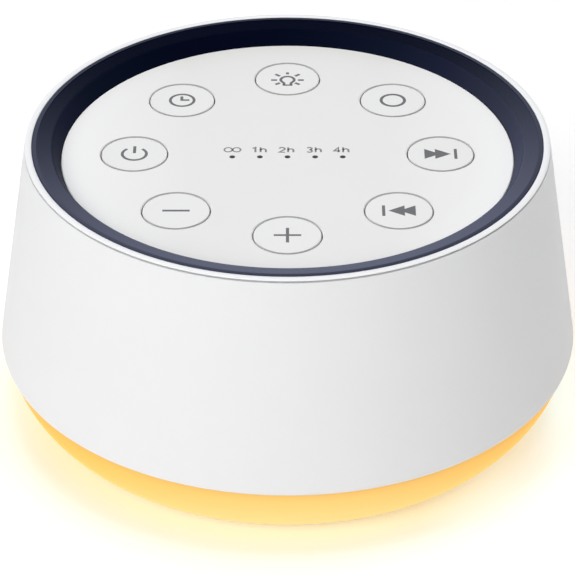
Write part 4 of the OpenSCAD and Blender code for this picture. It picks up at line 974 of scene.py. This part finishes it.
def build_lit_ring():
    """A collar inside the shell, and a bulge between the shell's edge and the base plate."""
    top, bottom = Vector((SHELL_R - SHELL_EDGE_R - 0.1, Z_SHELL)), Vector((BASE_R, Z_BASE))
    chord = bottom - top
    along = chord.normalized()
    c = (top + bottom) / 2 + Vector((along.y, -along.x)) * math.sqrt(BULGE_R ** 2 - (chord.length / 2) ** 2)

    def angle(p):
        return math.degrees(math.atan2(p.y - c.y, p.x - c.x))

    r_seat, r_in = R_PLATE + SIDE_GAP, BULGE_R - DIFFUSER_WALL
    outline = [(R_COLLAR_IN, Z_COLLAR), (R_COLLAR, Z_COLLAR), (R_COLLAR, Z_SHELL)]
    outline += arc(c, BULGE_R, angle(top), angle(bottom) + LOW_EDGE * 3, 32)
    outline += [(BASE_R - LOW_EDGE, Z_BASE), (r_seat, Z_BASE), (r_seat, Z_PLATE_TOP)]
    outline += [(R_INNER_FLANGE, Z_PLATE_TOP), (R_INNER_FLANGE, Z_INNER_FLANGE)]
    for i in range(17):
        z = Z_INNER_FLANGE + (Z_SHELL - Z_INNER_FLANGE) * i / 16
        outline.append((min(R_COLLAR_IN, c.x + math.sqrt(r_in ** 2 - (z - c.y) ** 2)), z))
    return finish(lathe("lit_ring_glow", outline, SEGMENTS), "housing", "diffuser", "lit_ring")


def plate_rings():
    """The ring that centres the lit ring, and the speaker's seat."""
    bm = bmesh.new()
    r_guide = R_INNER_FLANGE - SIDE_GAP
    add_lathe(bm, rectangle(r_guide - 1.2, Z_IN_PLATE, r_guide, Z_INNER_FLANGE), 192)
    seat = rectangle(SPEAKER_SEAT_IN_R, Z_IN_PLATE, SPEAKER_SEAT_R, Z_PLATE_TOP + SPEAKER_SEAT_H)
    add_lathe(bm, seat, 192)
    return make("rings", bm)


def grille_slots():
    """Four round slots, each broken by three webs across the middle."""
    bm = bmesh.new()
    for i in range(1, 5):
        r, w = i * SLOT_PITCH, SLOT_W / 2
        add_lathe(bm, rectangle(r - w, Z_PLATE - 1, r + w, Z_PLATE_TOP + 1), 144)
    slots = make("slots", bm)
    w = GRILLE_WEB_W / 2
    for turn in (0, 60, 120):
        cut(slots, boxes("web", [(-26, -w, Z_PLATE - 2, 26, w, Z_PLATE_TOP + 2, turn)]))
    return slots


def build_base():
    posts = polar(POST_RING_R, POST_ANGLES)
    corners = [(x * SPEAKER_CORNER, y * SPEAKER_CORNER) for x in (-1, 1) for y in (-1, 1)]
    z_corner, pilot_r = Z_PLATE_TOP + CORNER_H, SMALL_SCREW_R + PUSH_FIT
    outline = [(0, Z_PLATE), (R_PLATE - LOW_EDGE, Z_PLATE), (R_PLATE, Z_PLATE + LOW_EDGE)]
    plate = lathe("base", outline + [(R_PLATE, Z_PLATE_TOP), (0, Z_PLATE_TOP)], SEGMENTS)
    fuse(plate, plate_rings())
    fuse(plate, rods("posts", posts, POST_R, Z_IN_PLATE, Z_POST, 64))
    fuse(plate, rods("corners", corners, CORNER_R, Z_IN_PLATE, z_corner))
    fuse(plate, rods("standoffs", STANDOFFS, STANDOFF_R, Z_IN_PLATE, Z_MAIN_BOARD))
    cut(plate, rods("seats", posts, FOOT_R + PUSH_FIT, Z_PLATE - 1, Z_PLATE + FOOT_SEAT, 96))
    cut(plate, rods("bores", posts, BASE_HEAD_R + SCREW_GAP, Z_PLATE - 1, Z_POST - 2, 48))
    cut(plate, rods("holes", posts, BASE_SCREW_R + SCREW_GAP, Z_PLATE, Z_POST + 1, 48))
    cut(plate, rods("corner_pilots", corners, pilot_r, Z_PLATE_TOP - 0.6, z_corner + 1, 24))
    z_pilot = Z_MAIN_BOARD - STANDOFF_PILOT_H
    cut(plate, rods("standoff_pilots", STANDOFFS, pilot_r, z_pilot, Z_MAIN_BOARD + 1, 24))
    cut(plate, grille_slots())
    return finish(plate, "housing", "base_white", "base_plate")


def build_feet():
    """Round rubber feet, seated in the base plate, with a rounded lower edge."""
    edge, z_seat = 0.5, Z_PLATE + FOOT_SEAT
    outline = [(0, 0)] + arc((FOOT_R - edge, edge), edge, -90, 0, 8) + [(FOOT_R, z_seat), (0, z_seat)]
    bm = bmesh.new()
    for at in polar(POST_RING_R, POST_ANGLES):
        add_lathe(bm, supported(outline), 96, at)
    return finish(make("feet", bm), "housing", "foot_rubber", "rubber_feet")


build_shell()
build_rim()
build_accent()
build_panel()
for key_name, key_angle in KEY_ANGLES.items():
    build_key(key_name, key_angle)
    build_mark(key_name, key_angle)
build_labels()
build_indicator_rims()
build_lit_ring()
build_base()
build_feet()

# The inner pieces keep their solids and take a procedural finish by the record's slots
slot_of = {part["node"]: part["material_slot"] for part in frame["record"]["subparts"]}
for node_name, node in nodes.items():
    if not node.hide_render:
        node.data.materials.clear()
        node.data.materials.append(M[slot_of[node_name]])

# ------------------------------------------------------------------ floor, light and camera

# Paper white, the strength of the glow painted on the floor, and the colour of the fill light painted over
# its shadows
PAPER_WHITE, PAINTED_FLOOR_GLOW = (0.93, 0.93, 0.93), 0.22
PAINTED_BOUNCE = (0.03, 0.19, 0.26)
ROOM_WHITE = (0.90, 0.98, 1.36)

# Tones of the glow painted on the floor, from under the shell outwards
PAINTED_GLOW_TONES = [
    (0.0, (1, 0.99, 0.82)), (0.25, (1, 0.97, 0.82)), (0.41, (1, 0.97, 0.88)), (0.55, (1, 0.995, 0.965)),
    (0.72, (1, 1, 0.995)), (1.0, (1, 1, 1))]

# The photograph's camera: its focal length in the photo's pixels, its distance in metres before the axis and
# above the panel, and its angle downwards
SENSOR, FOCAL_PX, PHOTO_PX = 36.0, 3171.0, 575.0
CAMERA_BACK, CAMERA_UP, CAMERA_DOWN = 0.55489, 0.32773, 32.98


def painted_side_fill(tree, x, y, from_axis):
    """How much painted fill light brightens the shadow: at the right, less at the left, and at the front
    right.
    """
    right = mapped(tree, x, 0.045, 0.056)
    left = product(tree, mapped(tree, x, -0.045, -0.056), 0.45)
    sides = arithmetic(tree, "ADD", right, left)
    sides = product(tree, sides, mapped(tree, from_axis, 0.0645, 0.060), mapped(tree, y, -0.035, -0.010))
    front = product(tree, mapped(tree, x, 0.026, 0.042), 0.65, mapped(tree, from_axis, 0.0605, 0.057))
    return arithmetic(tree, "ADD", sides, front)


def floor_paper():
    """White paper with the lit ring's glow painted on it, and painted fill light in the shadow beside the
    shell.
    """
    paper = bpy.data.materials.new("floor_paper")
    paper.use_nodes = True
    tree = paper.node_tree
    base = tree.nodes["Principled BSDF"]
    base.inputs["Roughness"].default_value = 0.9
    base.inputs["Specular IOR Level"].default_value = 0.1
    place = coordinates(tree)
    from_axis = flat_radius(tree, place)
    x, y, _ = axes(tree, place)
    # Painted light: a warm glow round the shell's foot, in the paper's colour and in what the camera sees
    glow = color_ramp(tree, mapped(tree, from_axis, 0.048, 0.070), PAINTED_GLOW_TONES)
    tree.links.new(blended(tree, 1.0, PAPER_WHITE, glow, "MULTIPLY"), base.inputs["Base Color"])
    total = tree.nodes.new("ShaderNodeVectorMath")
    tree.links.new(scaled(tree, glow, PAINTED_FLOOR_GLOW), total.inputs[0])
    # Painted light: a cool fill over the shadows beside the shell
    tree.links.new(scaled(tree, PAINTED_BOUNCE, painted_side_fill(tree, x, y, from_axis)), total.inputs[1])
    tree.links.new(total.outputs["Vector"], base.inputs["Emission Color"])
    tree.links.new(directly_seen(tree), base.inputs["Emission Strength"])
    return paper


def backdrop_light(tree, x, y, z):
    """What glossy surfaces mirror: a bright backdrop, weaker towards the upper right, in a dark room."""
    lean = product(tree, x, z, 5.0)
    open_part = arithmetic(tree, "MAXIMUM", arithmetic(tree, "SUBTRACT", 1.0, lean), 0.2)
    backdrop = product(tree, mapped(tree, y, 0.74, 0.935), open_part)
    return scaled(tree, ROOM_WHITE, arithmetic(tree, "MAXIMUM", backdrop, 0.005))


def studio_world():
    """Soft white light all round, with a white background for the camera."""
    world = bpy.data.worlds.new("studio")
    world.use_nodes = True
    tree = world.node_tree
    tree.nodes.clear()
    out = tree.nodes.new("ShaderNodeOutputWorld")
    mixer = tree.nodes.new("ShaderNodeMixShader")
    soft = tree.nodes.new("ShaderNodeBackground")
    seen = tree.nodes.new("ShaderNodeBackground")
    rays = tree.nodes.new("ShaderNodeLightPath").outputs
    x, y, z = axes(tree, coordinates(tree, "Generated"))
    soft.inputs["Color"].default_value = (0.97, 0.98, 1.0, 1)
    tree.links.new(arithmetic(tree, "SUBTRACT", 0.42, product(tree, x, 0.06)), soft.inputs["Strength"])
    shown = blended(tree, rays["Is Camera Ray"], backdrop_light(tree, x, y, z), (1, 1, 1))
    tree.links.new(shown, seen.inputs["Color"])
    direct = arithmetic(tree, "MAXIMUM", directly_seen(tree), rays["Is Transmission Ray"])
    for socket, source in zip(mixer.inputs, (direct, soft.outputs[0], seen.outputs[0])):
        tree.links.new(source, socket)
    tree.links.new(mixer.outputs[0], out.inputs["Surface"])
    return world


def area_light(name, place, target, size, power):
    """A round lamp that polished surfaces don't mirror."""
    data = bpy.data.lights.new(name, "AREA")
    data.shape = "DISK"
    data.size = size
    data.energy = power
    obj = bpy.data.objects.new(name, data)
    obj.location = place
    obj.rotation_euler = (Vector(target) - Vector(place)).to_track_quat("-Z", "Y").to_euler()
    obj.visible_glossy = False
    bpy.context.scene.collection.objects.link(obj)


def photo_camera():
    camera = bpy.data.objects.new("camera", bpy.data.cameras.new("camera"))
    bpy.context.scene.collection.objects.link(camera)
    camera.data.sensor_width = SENSOR
    camera.data.lens = SENSOR * FOCAL_PX / PHOTO_PX
    camera.location = (0, -CAMERA_BACK, CAMERA_UP + Z_PANEL * MM)
    camera.rotation_euler = (math.radians(90 - CAMERA_DOWN), 0, 0)
    return camera


floor_mesh = bpy.data.meshes.new("floor")
floor_mesh.from_pydata([(x, y, 0) for x, y in rectangle(-6.0, -6.0, 6.0, 6.0)], [], [(0, 1, 2, 3)])
floor_mesh.materials.append(floor_paper())
floor = bpy.data.objects.new("floor", floor_mesh)
bpy.context.scene.collection.objects.link(floor)

bpy.context.scene.world = studio_world()
area_light("key_light", (-0.57, -1.02, 0.80), (0, 0, 0.04), 1.0, 9.3)
area_light("top_light", (0.10, 0.25, 1.45), (0, 0, 0.05), 1.0, 8.3)
bpy.context.scene.camera = photo_camera()
bpy.context.scene.view_settings.view_transform = "Standard"
